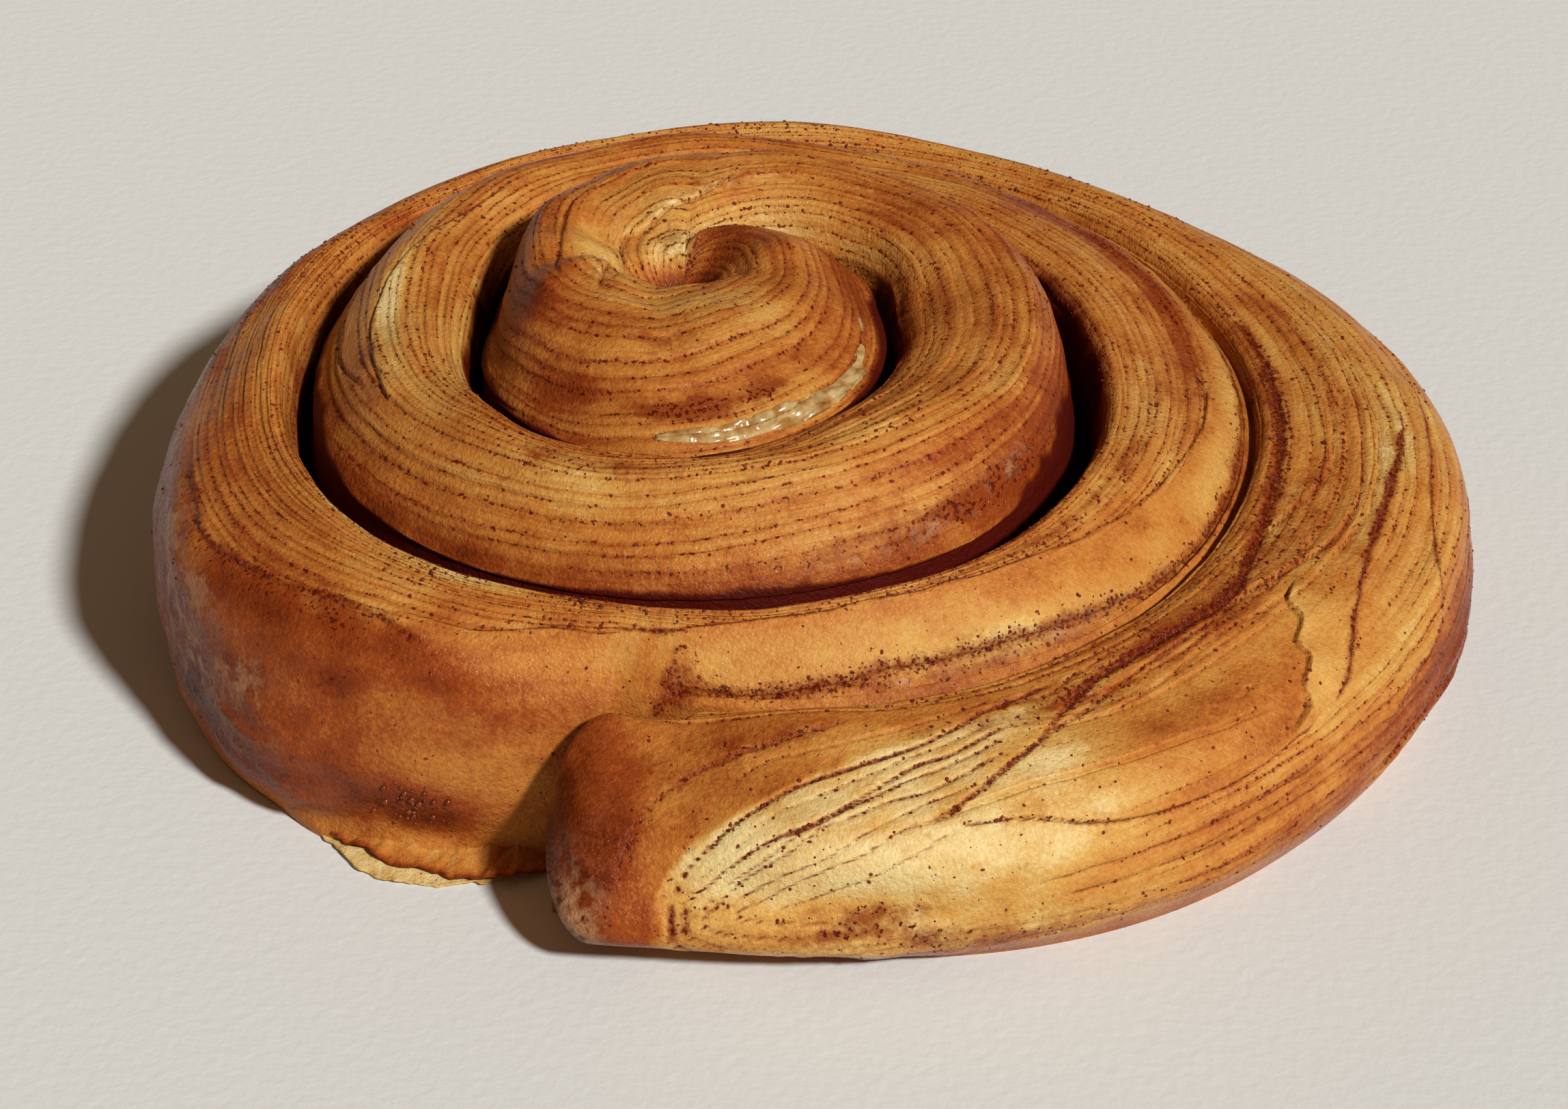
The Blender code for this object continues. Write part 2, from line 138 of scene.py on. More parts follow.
# Seams where a sheet of dough ends: its line as (theta, row), the filling's width and
# strength, how deep it is pressed in, how far its inner side stands up (or its outer side,
# below 0), over what width, and how much darker that raised side is painted, as painted
# shade on the step (paler, below 0, as painted light).
SEAMS = (
    # the strip's cut end, where the sheets fold round a point at the lower left
    (((265.6, 2.6), (266.2, 3.35), (267, 4), (269, 4.42), (272, 4.76), (275, 5.03), (278, 5.24),
      (282, 5.42), (287, 5.75)), 0.34, 0.62, 0.16, 0.14, 2.4, 0.1),
    (((268.9, 1.6), (269.2, 2.3), (270.2, 3), (271.4, 3.8), (273.8, 4.4), (277.2, 4.85), (283, 5.1),
      (292, 5.45), (300, 5.75)), 0.1, 0.45, 0.14, 0.07, 0.9, 0.05),
    (((272.2, 1.3), (270.4, 1.55), (270, 2.2), (270.6, 2.75), (272.2, 3.4), (274.6, 3.9), (276.3, 4.15),
      (279.1, 4.45), (285, 4.75), (291, 5), (297, 5.45), (305, 5.7)), 0.13, 1, 0.26, 0.1, 1, 0.06),
    (((270.5, 1.95), (270.9, 2.4), (272.2, 2.85), (274.2, 3.4), (277.2, 4), (281, 4.35), (287, 4.68),
      (293, 4.95), (299, 5.4)), 0.09, 0.5, 0.12, 0.06, 0.8, 0),
    (((274.6, 1.45), (271.8, 1.75), (270.9, 2.1), (271.4, 2.5), (273, 2.8), (274.6, 3.2), (276.3, 3.55),
      (279.1, 3.8), (281, 3.95), (284, 4.25), (287, 4.5), (290, 4.7), (293, 4.8), (299, 5.2)),
     0.13, 0.95, 0.24, 0.1, 1, 0.04),
    (((271.9, 2.05), (273, 2.45), (275.4, 3), (278.6, 3.65), (282, 4), (287, 4.4), (292, 4.6),
      (298, 4.95)), 0.11, 0.75, 0.16, 0.06, 0.8, 0),
    (((279.1, 1.6), (274.2, 1.85), (272.2, 2.1), (273.5, 2.4), (276.3, 3), (279.1, 3.5), (282, 3.88),
      (287, 4.22), (292, 4.4), (297, 4.7)), 0.11, 0.75, 0.2, 0.08, 0.9, 0),
    (((273.5, 2.2), (276.3, 2.62), (280, 3.15), (284, 3.7), (289, 4.08), (294, 4.3)),
     0.1, 0.7, 0.14, 0.05, 0.8, 0),
    (((284, 1.8), (277.2, 1.95), (274.8, 2.15), (277.2, 2.4), (280, 2.8), (283, 3.25), (286, 3.62),
      (290, 3.95)), 0.11, 0.7, 0.16, 0.06, 0.8, 0),
    (((277.2, 2.15), (281, 2.4), (285, 2.9), (289, 3.5), (292, 3.8)), 0.1, 0.6, 0.14, 0.04, 0.8, 0),
    (((269.2, 1.4), (270.2, 1.15), (273, 0.98), (279.1, 0.9), (290, 0.95), (306, 1.15)),
     0.16, 0.6, 0.2, 0.1, 1, 0.1),
    (((271.4, 1.25), (275.4, 1.12), (281, 1.12), (292, 1.3)), 0.12, 0.5, 0.16, 0.06, 0.9, 0.05),
    (((280, 1.35), (288, 1.45), (298, 1.5), (312, 1.6)), 0.12, 0.4, 0.18, 0.08, 0.9, 0),
    # the deep fold that runs up from it
    (((288, 3.8), (292, 4), (297, 4.15), (302, 4.2), (308, 4.25), (314, 4.15), (318, 4.05)),
     0.16, 0.15, 0.5, 0.28, 2.2, 0),
    (((289, 3.85), (291, 3.95), (294, 4.25), (297, 4.55), (300, 4.8), (304, 5.25), (307, 5.45)),
     0.22, 0.9, 0.3, 0.22, 1.3, 0.1),
    (((303, 5.2), (307, 5.45), (314, 5.6), (324, 5.52), (330, 5.7), (339, 5.85), (352, 5.95), (372, 6)),
     0.62, 1, 0.22, 0.3, 1.4, 0.12),
    (((296, 5.5), (300, 5.5), (304, 5.52), (309, 5.72), (316, 5.68)), 0.2, 0.6, 0.12, 0.1, 1, 0),
    (((300, 4.9), (303, 5), (310, 5.32), (316, 5.4), (325, 5.42), (330, 5.33), (336, 5.15), (342, 5.14),
      (351, 5.2), (370, 5.25)), 0.13, 0.8, 0.28, 0.28, 1.1, 0.08),
    (((306, 4.95), (312, 5.12), (320, 5.22), (328, 5.12)), 0.1, 0.5, 0.16, 0.12, 0.9, 0),
    (((330, 5.85), (336, 5.7), (345, 5.45), (352, 5.45), (360, 5.45), (376, 5.5)),
     0.13, 0.75, 0.26, 0.25, 1, 0.08),
    (((326, 5.3), (334, 5.32), (342, 5.3), (352, 5.33), (368, 5.38)), 0.1, 0.6, 0.2, 0.16, 0.9, 0),
    (((334, 5.02), (342, 5), (352, 5.05), (364, 5.1), (382, 5.1)), 0.1, 0.6, 0.22, 0.2, 0.9, 0.05),
    # torn leaves of the outermost sheet
    (((318, 3.25), (318.6, 3.5), (320.6, 3.8), (321.2, 4.1), (323.4, 4.4), (323.8, 4.65), (326, 4.8),
      (327, 5.08), (330, 5.2)), 0.12, 0.4, 0.05, -0.6, 2.4, -0.16),
    (((315.4, 4.42), (316.2, 4.38), (317, 4.44), (318.4, 4.4)), 0.1, 0.3, 0.45, 0.1, 0.5, 0),
    (((347, 1.3), (340, 1.45), (333, 1.75), (329, 1.4), (326.5, 0.95)), 0.25, 0.75, 0.3, 0.45, 1.2, -0.1),
    (((322.6, 3.4), (325, 3.7), (327, 4.1), (331, 4.5), (336, 4.75), (341, 4.85), (347, 4.86),
      (358, 4.72)), 0.5, 1, 0.14, 0.85, 2.6, -0.05),
    (((327, 2.3), (331, 2.65), (337, 2.85), (340, 3.4), (344, 4.1), (350, 4.35), (364, 4.3)),
     0.35, 0.9, 0.16, 0.6, 2.2, -0.08),
    (((291, 3.72), (296, 3.68), (301, 3.3), (306, 3.05), (312, 3), (319, 3.3), (322, 3.5)),
     0.14, 0.7, 0.34, 0.35, 1.5, 0.05),
    (((296, 2.4), (301, 2.42), (311, 2.45), (318, 2.5), (322, 2.62), (327, 2.9), (333, 3.1)),
     0.12, 0.6, 0.25, 0.2, 1.2, 0.03),
    (((298, 2), (310, 2.05), (320, 2.1), (331, 2.3), (345, 2.6), (356, 2.8)),
     0.11, 0.6, 0.24, 0.18, 1, 0.03),
    (((306, 1.5), (318, 1.6), (332, 1.75), (350, 2), (370, 2.2)), 0.11, 0.6, 0.22, 0.18, 1, 0.03),
    (((312, 1.1), (326, 1.2), (340, 1.35), (360, 1.5)), 0.1, 0.5, 0.2, 0.15, 1, 0.03),
    # foot of the ledge behind the strip's end, and the layered lip above it
    (((628, 3.7), (630, 3.95), (636, 3.9), (645, 4.15), (652, 4.33), (666, 4.33), (674, 4.28),
      (684, 4.05), (700, 3.95), (730, 3.9)), 0.8, 0.62, 0.22, 0.3, 1.8, -0.05),
    (((600, 4.5), (609, 4.52), (616, 4.72), (623, 4.72), (631, 4.92), (638, 5.3), (650, 5.43), (664, 5.4),
      (680, 5.25), (694, 5.12), (716, 4.98)), 0.09, 0.75, 0.14, -0.22, 2.2, 0),
    # where the browned wall at the left begins
    (((560, 4.25), (568, 4.22), (575, 4.12), (580, 4.2), (586, 4.3), (594, 4.36), (599, 4.36),
      (602, 4.24), (606, 4.08)), 0.55, 0.75, 0.05, 0.16, 1.4, -0.06),
    # the pale crest at the left of the third coil, and the dark flank outside it
    (((850, 5.45), (873, 5.28), (887, 5.1), (897, 5), (908, 4.9), (919, 4.88), (935, 4.8)),
     0.25, 0.45, 0.2, 0.3, 1.6, -0.15),
    (((882, 4.7), (890, 4.5), (902, 4.42), (916, 4.56), (926, 4.7)), 0.3, 0.5, 0.15, 0.2, 1.4, 0),
    # the fold over the hollow and the gap behind it
    (((1148, 5.5), (1166, 5.8), (1193, 6.05), (1212, 5.97), (1242, 6), (1275, 5.85), (1304, 5.55),
      (1318, 5.3)), 0.13, 0.5, 0.4, -0.35, 1.8, -0.2),
    (((1190, 5.3), (1215, 5.3), (1245, 5.35), (1275, 5.3), (1300, 5.15)), 0.16, 0.5, 0.3, 0.3, 1.2, 0.1),
    (((1262, 6.2), (1280, 6), (1298, 5.65), (1312, 5.4)), 0.14, 0.5, 0.16, 0.16, 0.8, -0.1),
    (((1274, 6.4), (1292, 6.1), (1308, 5.7), (1320, 5.45)), 0.14, 0.5, 0.16, 0.16, 0.8, 0.1),
)


def smooth_step(x):
    """0 below 0, 1 above 1, and a soft rise between."""
    x = np.clip(x, 0.0, 1.0)
    return x * x * (3.0 - 2.0 * x)


def hump(x, middle, spread, power=2):
    """1 at the middle and 0 far from it; a higher power has steeper sides."""
    return np.exp(-(((x - middle) / spread) ** power))


def patch(x, y, at_x, at_y, wide, high, power=2):
    """1 at a place and 0 far from it, wide along x and high along y."""
    return np.exp(-(((x - at_x) / wide) ** power) - ((y - at_y) / high) ** power)


def catmull_rom(values, x):
    """The curve through evenly spaced values (along their last axis), at positions x."""
    values = np.asarray(values, float)
    count = values.shape[-1]
    x = np.clip(x, 0.0, count - 1.0)
    at = np.minimum(x.astype(int), count - 2)
    f = x - at
    a, b = values[..., np.maximum(at - 1, 0)], values[..., at]
    c, d = values[..., at + 1], values[..., np.minimum(at + 2, count - 1)]
    curve = 2 * b + (c - a) * f + (2 * a - 5 * b + 4 * c - d) * f**2
    return 0.5 * (curve + (3 * b - a - 3 * c + d) * f**3)


def along(values, theta, step):
    """A size given each step degrees from 270, at any theta."""
    return catmull_rom(values, (theta - 270.0) / step)


def direction(theta):
    """The unit vector in plan from the coil's middle toward theta."""
    turned = np.radians(theta)
    return np.stack([np.cos(turned), np.sin(turned)], -1)


def groove_point(theta):
    """Where the strip's inner edge runs, in plan."""
    closing = np.clip((theta - CLOSING) / (CLOSES - CLOSING), 0.0, 1.0)
    radius = along(GROOVE_RADIUS, theta + 45.0, 45.0)
    radius = HOLLOW_RADIUS + (radius - HOLLOW_RADIUS) * (1.0 - closing**2.4)
    radius = radius - 1.4 * hump(theta, 940.0, 26.0)
    moved = smooth_step((theta - CLOSING) / 70.0)[..., None]
    return POLE + (HOLLOW - POLE) * moved + radius[..., None] * direction(theta)


def groove_depth(theta):
    """How far the groove goes down below the rims beside it."""
    depth = SHALLOW
    for opens, opened, closes, closed, extra in OPEN_SPANS:
        risen = smooth_step((theta - opens) / (opened - opens))
        depth = depth + extra * risen * (1.0 - smooth_step((theta - closes) / (closed - closes)))
    return depth


def groove_floor(theta):
    """Height of the bottom of the groove on the strip's inner side."""
    floor = along(RIM_HEIGHT, theta, 90.0) - groove_depth(theta)
    floor = floor + (HOLLOW_FLOOR - floor) * smooth_step((theta - 1100.0) / (CLOSES - 1100.0))
    return floor * smooth_step((theta - TAIL) / CREVICE_TURN)


def section(theta):
    """Reach inward and height of the points a cut passes through, and its two ends in plan."""
    first = theta < SECOND_TURN
    inner = groove_point(theta)
    nose = 1.0 - smooth_step((theta - TAIL) / NOSE_TURN)
    wall = along(WALL_RADIUS, theta, 45.0) - WALL_BULGE - NOSE_TUCK * nose
    foot = POLE + wall[..., None] * direction(theta)
    outer = np.where(first[..., None], foot, groove_point(theta - 360.0))
    width = np.linalg.norm(inner - outer, axis=-1)

    walled = 1.0 - smooth_step((theta - 594.0) / 54.0)
    outer_floor = np.where(first, 0.0, groove_floor(theta - 360.0))
    inner_floor = groove_floor(theta)
    body = np.where(theta > TIP - 120.0, 1.0 - (1.0 - np.clip(width / 9.0, 0.0, 1.0)) ** 2, 1.0)

    crown = along(CROWN_HEIGHT, theta, 90.0) - NOSE_DROP * nose
    rim = along(RIM_HEIGHT, theta, 90.0) + 0.5 - NOSE_DROP * nose
    shoulder = crown - SHOULDER_DROP
    outer_rim = along(RIM_HEIGHT, theta - 360.0, 90.0) - 0.1
    top = walled * shoulder + (1.0 - walled) * outer_rim
    crown = inner_floor + (crown - inner_floor) * body
    rim = inner_floor + (rim - inner_floor) * body
    top = outer_floor + (top - outer_floor) * body

    lip = np.minimum(1.0, width / 6.0)
    across = along(CROWN_ACROSS, theta, 90.0)
    edge = np.minimum(along(INNER_EDGE, theta, 90.0), 0.42 * width)
    reach, height = [], []
    spans = ((0.0, 0.0, 0.0, 0.0), (-0.7, 0.25, 0.2, 0.3), (-1.0, 0.5, 0.5, 0.6),
             (-0.55, 0.8, 0.8, 0.85), (0.55, 1.25, 1.0, 1.0))
    for swell, gap, wall_part, groove_part in spans:
        reach.append(walled * swell * WALL_BULGE + (1.0 - walled) * gap * lip)
        part = walled * wall_part + (1.0 - walled) * groove_part
        height.append(outer_floor + (top - outer_floor) * part)
    reach += [across * width, width - edge, width]
    height += [crown, rim, inner_floor]
    return np.stack(reach, -1), np.stack(height, -1), outer, inner


def skirt(theta, height):
    """The thin foot of dough past the wall, at the front left."""
    return SKIRT_REACH * hump(theta, SKIRT_AT, SKIRT_TURN, 4) * hump(height, 0.0, SKIRT_THICK)


def uneven(theta, rows):
    """Swell and sag of dough wound by hand, in mm, none of it at the grooves."""
    turn = np.radians(theta)
    sway = 0.32 * np.sin(2.3 * turn + 0.9 * rows) + 0.22 * np.sin(5.1 * turn - 1.7 * rows + 1.0)
    sway = sway + 0.14 * np.sin(9.7 * turn + 2.6 * rows + 2.0)
    for middle, row, spread, across, height in LUMPS:
        sway = sway + height * patch(theta, rows, middle, row, spread, across)
    return sway * smooth_step(rows / 1.5) * smooth_step((6.8 - rows) / 0.8)


def plain_surface(theta, rows):
    """The solid's own surface, without layers: points for each theta and row."""
    reach, height, outer, inner = section(theta)
    gap = inner - outer
    width = np.linalg.norm(gap, axis=-1)
    inward = gap / np.maximum(width, 1e-9)[:, None]
    column, row = theta[:, None], rows[None, :]
    upward = smooth_step(row - 3.3)
    out = uneven(column, row) * np.minimum(1.0, width / 7.0)[:, None]
    z = catmull_rom(height, rows) + out * upward
    d = catmull_rom(reach, rows)
    d = np.where(column < SECOND_TURN, d - out * (1.0 - upward) - skirt(column, z), d)
    # The ledge at the front is lower, the strip's end is undercut, and the third coil leans out.
    z = z - 0.9 * hump(column, 648.0, 62.0, 4) * smooth_step((row - 4.9) / 1.1)
    tucked = hump(column, 262.0, 24.0) * (column < 340.0)
    d = d + tucked * (4.6 * hump(z, 0.0, 2.3) - 2.5 * hump(z, 4.6, 3.2)) * (row < 3.5)
    d = d + 0.8 * hump(column, 990.0, 80.0, 4) * smooth_step((4.5 - row) / 0.9) * smooth_step(row / 0.6)
    plan = outer[:, None, :] + d[..., None] * inward[:, None, :]
    return np.concatenate([plan, np.maximum(z, 0.0)[..., None]], -1) + FORM_SHIFT


# ---------------------------------------------------------------- layers, seams and crust

RANDOM_HEIGHTS = np.random.default_rng(7).uniform(-1.0, 1.0, 4096)


def scattered(x, y, seed):
    """A fixed random number between -1 and 1 for each pair of whole numbers."""
    mixed = (x.astype(np.int64) * 1619 + y.astype(np.int64) * 31337 + seed * 6971) & 0x7FFFFFFF
    mixed = (mixed ^ (mixed >> 7)) * 2654435 & 0x7FFFFFFF
    return RANDOM_HEIGHTS[(mixed ^ (mixed >> 11)) & 4095]


def lumpy(x, y, seed):
    """Smooth random heights between -1 and 1, about one lump to each unit."""
    i, j = np.floor(x), np.floor(y)
    u, v = x - i, y - j
    u, v = u * u * (3.0 - 2.0 * u), v * v * (3.0 - 2.0 * v)
    near = scattered(i, j, seed) * (1 - u) + scattered(i + 1, j, seed) * u
    far = scattered(i, j + 1, seed) * (1 - u) + scattered(i + 1, j + 1, seed) * u
    return near * (1 - v) + far * v


def spots(theta, rows, places):
    """Adds up soft patches, each at a theta and row with its spreads and strength."""
    total = np.zeros(np.broadcast(theta, rows).shape)
    for middle, row, spread, across, strength in places:
        total += strength * patch(theta, rows, middle, row, spread, across)
    return total


def strip_lengths():
    """Distance along the strip in mm against theta, measured down its middle."""
    theta = np.arange(TAIL - NOSE_LEAD - 2.0, TIP + 0.5, 0.5)
    _, _, outer, inner = section(np.maximum(theta, TAIL))
    middle = (outer + inner) / 2.0
    steps = np.maximum(np.linalg.norm(np.diff(middle, axis=0), axis=1), 0.02)
    return theta, np.concatenate([[0.0], np.cumsum(steps)])


def layer_count(theta, rows, s, p):
    """Number of the sheet of dough at each place: cinnamon lies where it is whole."""
    quarter = (theta - 270.0) / 90.0
    table = np.cumsum(np.concatenate([np.zeros((len(LAYERS), 1)), np.array(LAYERS, float)], 1), 1)
    table = table - table[:, 5:6]
    at = np.clip(quarter, 0.0, len(LAYERS) - 1.0)
    low = np.minimum(at.astype(int), len(LAYERS) - 2)
    f = smooth_step(at - low)
    mixed = table[low[:, 0]] * (1.0 - f) + table[low[:, 0] + 1] * f
    count = np.array([np.interp(rows[0], np.arange(8.0), line) for line in mixed])
    count = count - LAYER_DRIFT * (theta - TAIL)
    count = count + 0.36 * lumpy(s / 26.0, p / 8.0, 1) + 0.07 * lumpy(s / 8.0, p / 3.0, 2)
    count = count + 0.07 * lumpy(s / 2.1, p / 1.7, 3)
    return count + 0.2 * np.sin(2.3 * count + 1.0)


def layered(theta, rows):
    """Where the cut layers show, 0 to 1: not on the smooth ledge, the wall or the blisters."""
    shown = smooth_step((rows - 3.9) / 0.5) * smooth_step((6.75 - rows) / 0.3)
    side = smooth_step((theta - 298.0) / 14.0) * smooth_step((470.0 - theta) / 60.0)
    shown = np.maximum(shown, side * smooth_step((rows - 0.8) / 0.5) * (rows < 5.0))
    knob = smooth_step((theta - 1215.0) / 60.0)
    shown = np.maximum(shown, knob * smooth_step((rows - 2.9) / 0.8) * (rows < 5.0))
    tail = smooth_step((308.0 - theta) / 16.0) * smooth_step((5.95 - rows) / 0.3)
    shown = shown * (1.0 - tail)
    shown = shown * (1.0 - patch(theta, rows, 318.0, 4.2, 17.0, 0.78, 4))
    lip = np.interp(theta, *LEDGE_LIP)
    ledge = smooth_step((theta - 592.0) / 14.0) * smooth_step((785.0 - theta) / 30.0)
    shown = shown * (1.0 - ledge * smooth_step((lip - rows) / 0.12))
    return shown * (1.0 - 0.9 * patch(theta, rows, 1245.0, 5.62, 42.0, 0.24, 4))


def seam_line(points):
    """A seam's line in mm along and across the strip, at close steps."""
    points = np.array(points, float)
    at = np.linspace(0.0, len(points) - 1.0, 8 * (len(points) - 1) + 1)
    theta, row = catmull_rom(points[:, 0], at), catmull_rom(points[:, 1], at)
    held = np.maximum(theta, TAIL)
    known_theta, known_length = strip_lengths()
    rows = row_places()
    across = arc_length(plain_surface(held, rows))
    p = np.array([np.interp(r, rows, line) for r, line in zip(row, across)])
    return np.interp(theta, known_theta, known_length), p


def arc_length(points):
    """Distance in mm across the strip from its first row."""
    steps = np.linalg.norm(np.diff(points, axis=1), axis=-1)
    return np.concatenate([np.zeros((len(points), 1)), np.cumsum(steps, axis=1)], 1)


def from_line(s, p, line_s, line_p):
    """Distance of each place to a line, which side it is on, and how far along the line."""
    best = np.full(s.shape, 1e9)
    side, along_line = np.ones(s.shape), np.zeros(s.shape)
    travelled = 0.0
    for k in range(len(line_s) - 1):
        ds, dp = line_s[k + 1] - line_s[k], line_p[k + 1] - line_p[k]
        length = max(math.hypot(ds, dp), 1e-6)
        t = np.clip(((s - line_s[k]) * ds + (p - line_p[k]) * dp) / length**2, 0.0, 1.0)
        off_s, off_p = s - line_s[k] - t * ds, p - line_p[k] - t * dp
        apart = np.hypot(off_s, off_p)
        closer = apart < best
        best = np.where(closer, apart, best)
        side = np.where(closer, np.where(ds * off_p - dp * off_s >= 0.0, 1.0, -1.0), side)
        along_line = np.where(closer, travelled + t * length, along_line)
        travelled += length
    return best, side, along_line, travelled


def seam_relief(s, p):
    """Height of the seams in mm, how much filling shows in them, and the painted shade on their raised
    sides (painted light where it is below 0).
    """
    height, filling, tone = np.zeros_like(p), np.zeros_like(p), np.zeros_like(p)
    for number, (points, width, strength, depth, step, reach, dark) in enumerate(SEAMS):
        line_s, line_p = seam_line(points)
        line_p = line_p + 0.14 * lumpy(line_s / 2.6, line_s * 0.0, 60 + number)
        columns = np.where((s[:, 0] > line_s.min() - 6.0) & (s[:, 0] < line_s.max() + 6.0))[0]
        if len(columns) == 0:
            continue
        apart, side, at, length = from_line(s[columns], p[columns], line_s, line_p)
        near = apart < 4.0 * reach + 2.0 * width
        fade = smooth_step((at + 0.2) / 1.6) * smooth_step((length + 0.2 - at) / 2.6) * near
        rough_width = width * (1.0 + 0.35 * lumpy(at / 1.4, at * 0.0, 160 + number))
        groove = hump(apart, 0.0, np.maximum(0.75 * rough_width, 0.17))
        raised = smooth_step((side * math.copysign(1.0, step) * apart + 0.1) / 0.2)
        bank = np.exp(-apart / reach) * raised
        height[columns] += fade * (abs(step) * bank - depth * groove)
        # The raised side is painted darker, or paler below 0: painted shade and light on the step.
        tone[columns] += fade * dark * bank
        filling[columns] = np.maximum(filling[columns], strength * fade * hump(apart, 0.0, rough_width))
    return height, np.clip(filling, 0.0, 1.0), tone


# Browning, and painted shade and light where marked: theta, row, spreads and how much
# darker (or paler, below 0) the crust is.
BAKED = (
    # the strip's end: brown nose, orange upper face, pale face, its foot
    (260, 3.6, 4.5, 2.4, 0.42), (263.5, 1.6, 3, 1.2, 0.26), (265.5, 3.9, 2.2, 1.2, 0.16),
    (270, 5.3, 9, 0.5, 0.02), (286, 5.1, 9, 0.35, -0.2), (284, 2.1, 5, 0.4, 0.1), (277, 3, 8, 0.8, -0.1),
    (290, 3.2, 8, 0.7, -0.1), (299, 4.35, 7, 0.3, -0.14), (296, 2.9, 6, 0.5, -0.12),
    (294, 1.6, 12, 0.5, -0.1), (284, 0.3, 14, 0.35, 0.1), (303, 3.7, 6, 0.35, -0.2),
    (268.5, 2.2, 2.5, 0.6, 0.12), (277, 1.9, 5, 0.4, 0.07),
    # the blisters and leaves at the right
    (306, 4.6, 4, 0.3, 0.07), (313, 4.35, 8, 0.4, 0.1), (312, 3.6, 8, 0.4, 0.04), (322, 4, 4, 0.4, -0.12),
    (331, 3.4, 8, 0.35, -0.14), (338, 4.1, 10, 0.5, -0.14), (336, 2.4, 10, 0.3, 0.12),
    (342, 1.5, 18, 0.9, 0.2), (320, 2.8, 12, 0.3, -0.1), (350, 3.6, 14, 0.5, -0.06),
    (352, 5, 14, 0.25, -0.14), (344, 5.6, 18, 0.3, -0.06), (372, 4.6, 22, 0.4, -0.06),
    (420, 5.2, 40, 0.35, -0.08), (440, 4.2, 45, 0.8, 0.15), (955, 4.1, 30, 0.2, 0.12),
    (520, 4.3, 35, 0.8, 0.1),
    # the wall at the left, brown where it met the tin
    (560, 2.6, 26, 1.6, 0.2), (578, 1.8, 8, 0.8, 0.1), (591, 1.5, 8, 0.5, 0.18), (580, 1.7, 8, 0.6, 0.12),
    (604.5, 1.3, 5.5, 0.42, 0.36), (586, 3.95, 11, 0.4, 0.2), (604, 3.9, 4, 0.4, 0.16),
    (597, 3.2, 3.5, 0.3, 0.16), (606, 3.45, 2.6, 0.3, 0.12), (592, 3, 7, 0.9, 0.13),
    (600.5, 2.1, 5, 0.6, 0.17), (599, 3.95, 4, 0.3, 0.12), (608, 1, 4, 0.5, 0.2),
    (606, 4.2, 5, 0.35, 0.07), (610, 2.8, 8, 0.9, 0.09), (611, 4.1, 9, 0.35, 0.03),
    (570, 5, 20, 0.5, 0.06),
    # the pale inner lip of the first coil, and the golden ledge
    (586, 5.95, 14, 0.2, -0.3), (604, 5.55, 10, 0.2, -0.22), (640, 4.7, 22, 0.5, -0.1),
    (667, 4.4, 10, 0.35, -0.18), (696, 4.6, 10, 0.4, -0.13), (652, 4.6, 16, 0.35, -0.04),
    (725, 4.5, 24, 0.5, -0.16), (700, 5.9, 50, 0.5, -0.05), (738, 5.1, 22, 0.2, 0.26),
    (800, 4.6, 50, 0.6, 0.12),
    # the third coil; its first patch is painted light on the shaded left flank
    (905, 4.5, 36, 0.42, -0.06), (900, 5.12, 34, 0.16, -0.26), (915, 5.8, 34, 0.4, -0.12),
    (925, 6, 24, 0.12, -0.16), (968, 4.9, 18, 0.4, -0.12), (1000, 4.85, 24, 0.35, -0.12),
    (955, 4.6, 22, 0.4, 0.07), (1018, 4, 12, 0.3, 0.1), (1034, 4.1, 9, 0.3, 0.12),
    (985, 5.6, 22, 0.2, 0.1), (1016, 4.25, 12, 0.12, -0.06), (1030, 4.6, 16, 0.2, 0.08),
    (1040, 5.2, 20, 0.25, -0.06), (1060, 4.5, 24, 0.4, 0.12), (1140, 4.6, 50, 0.6, 0.22),
    (1112, 5.7, 22, 0.35, 0.1), (840, 5.1, 25, 0.4, 0.06), (1165, 6.2, 50, 0.3, -0.2),
    (1110, 6.1, 24, 0.3, -0.08),
    # the heart; painted shade on the knob's left top (1294), the hollow's inner side (1400) and the tip's
    # end (1470)
    (1245, 5.6, 45, 0.25, -0.17), (1318, 5.75, 8, 0.2, -0.22), (1250, 4.7, 40, 0.5, 0.16),
    (1321, 4.3, 10, 0.35, 0.2), (1294, 4.8, 16, 0.6, 0.28), (1404, 4.7, 14, 0.4, 0.12),
    (1330, 4.9, 10, 0.2, 0.1), (1352, 5.25, 26, 0.14, -0.16), (1385, 4.9, 20, 0.3, -0.06),
    (1345, 4.1, 30, 0.25, -0.06), (1400, 6.7, 90, 0.35, 0.26), (1480, 5.4, 34, 0.5, 0.2),
    (1470, 4.2, 26, 0.5, 0.24), (1215, 4.8, 30, 0.6, 0.12), (1440, 4.6, 30, 0.5, 0.08),
)
# Top of the pale cut face at the strip's end: theta and row.
FACE_TOP = ((266.6, 268.6, 271.6, 277.2, 283, 290, 301, 312), (1.5, 2.6, 3.8, 4.42, 4.84, 5.2, 5.58, 5.7))
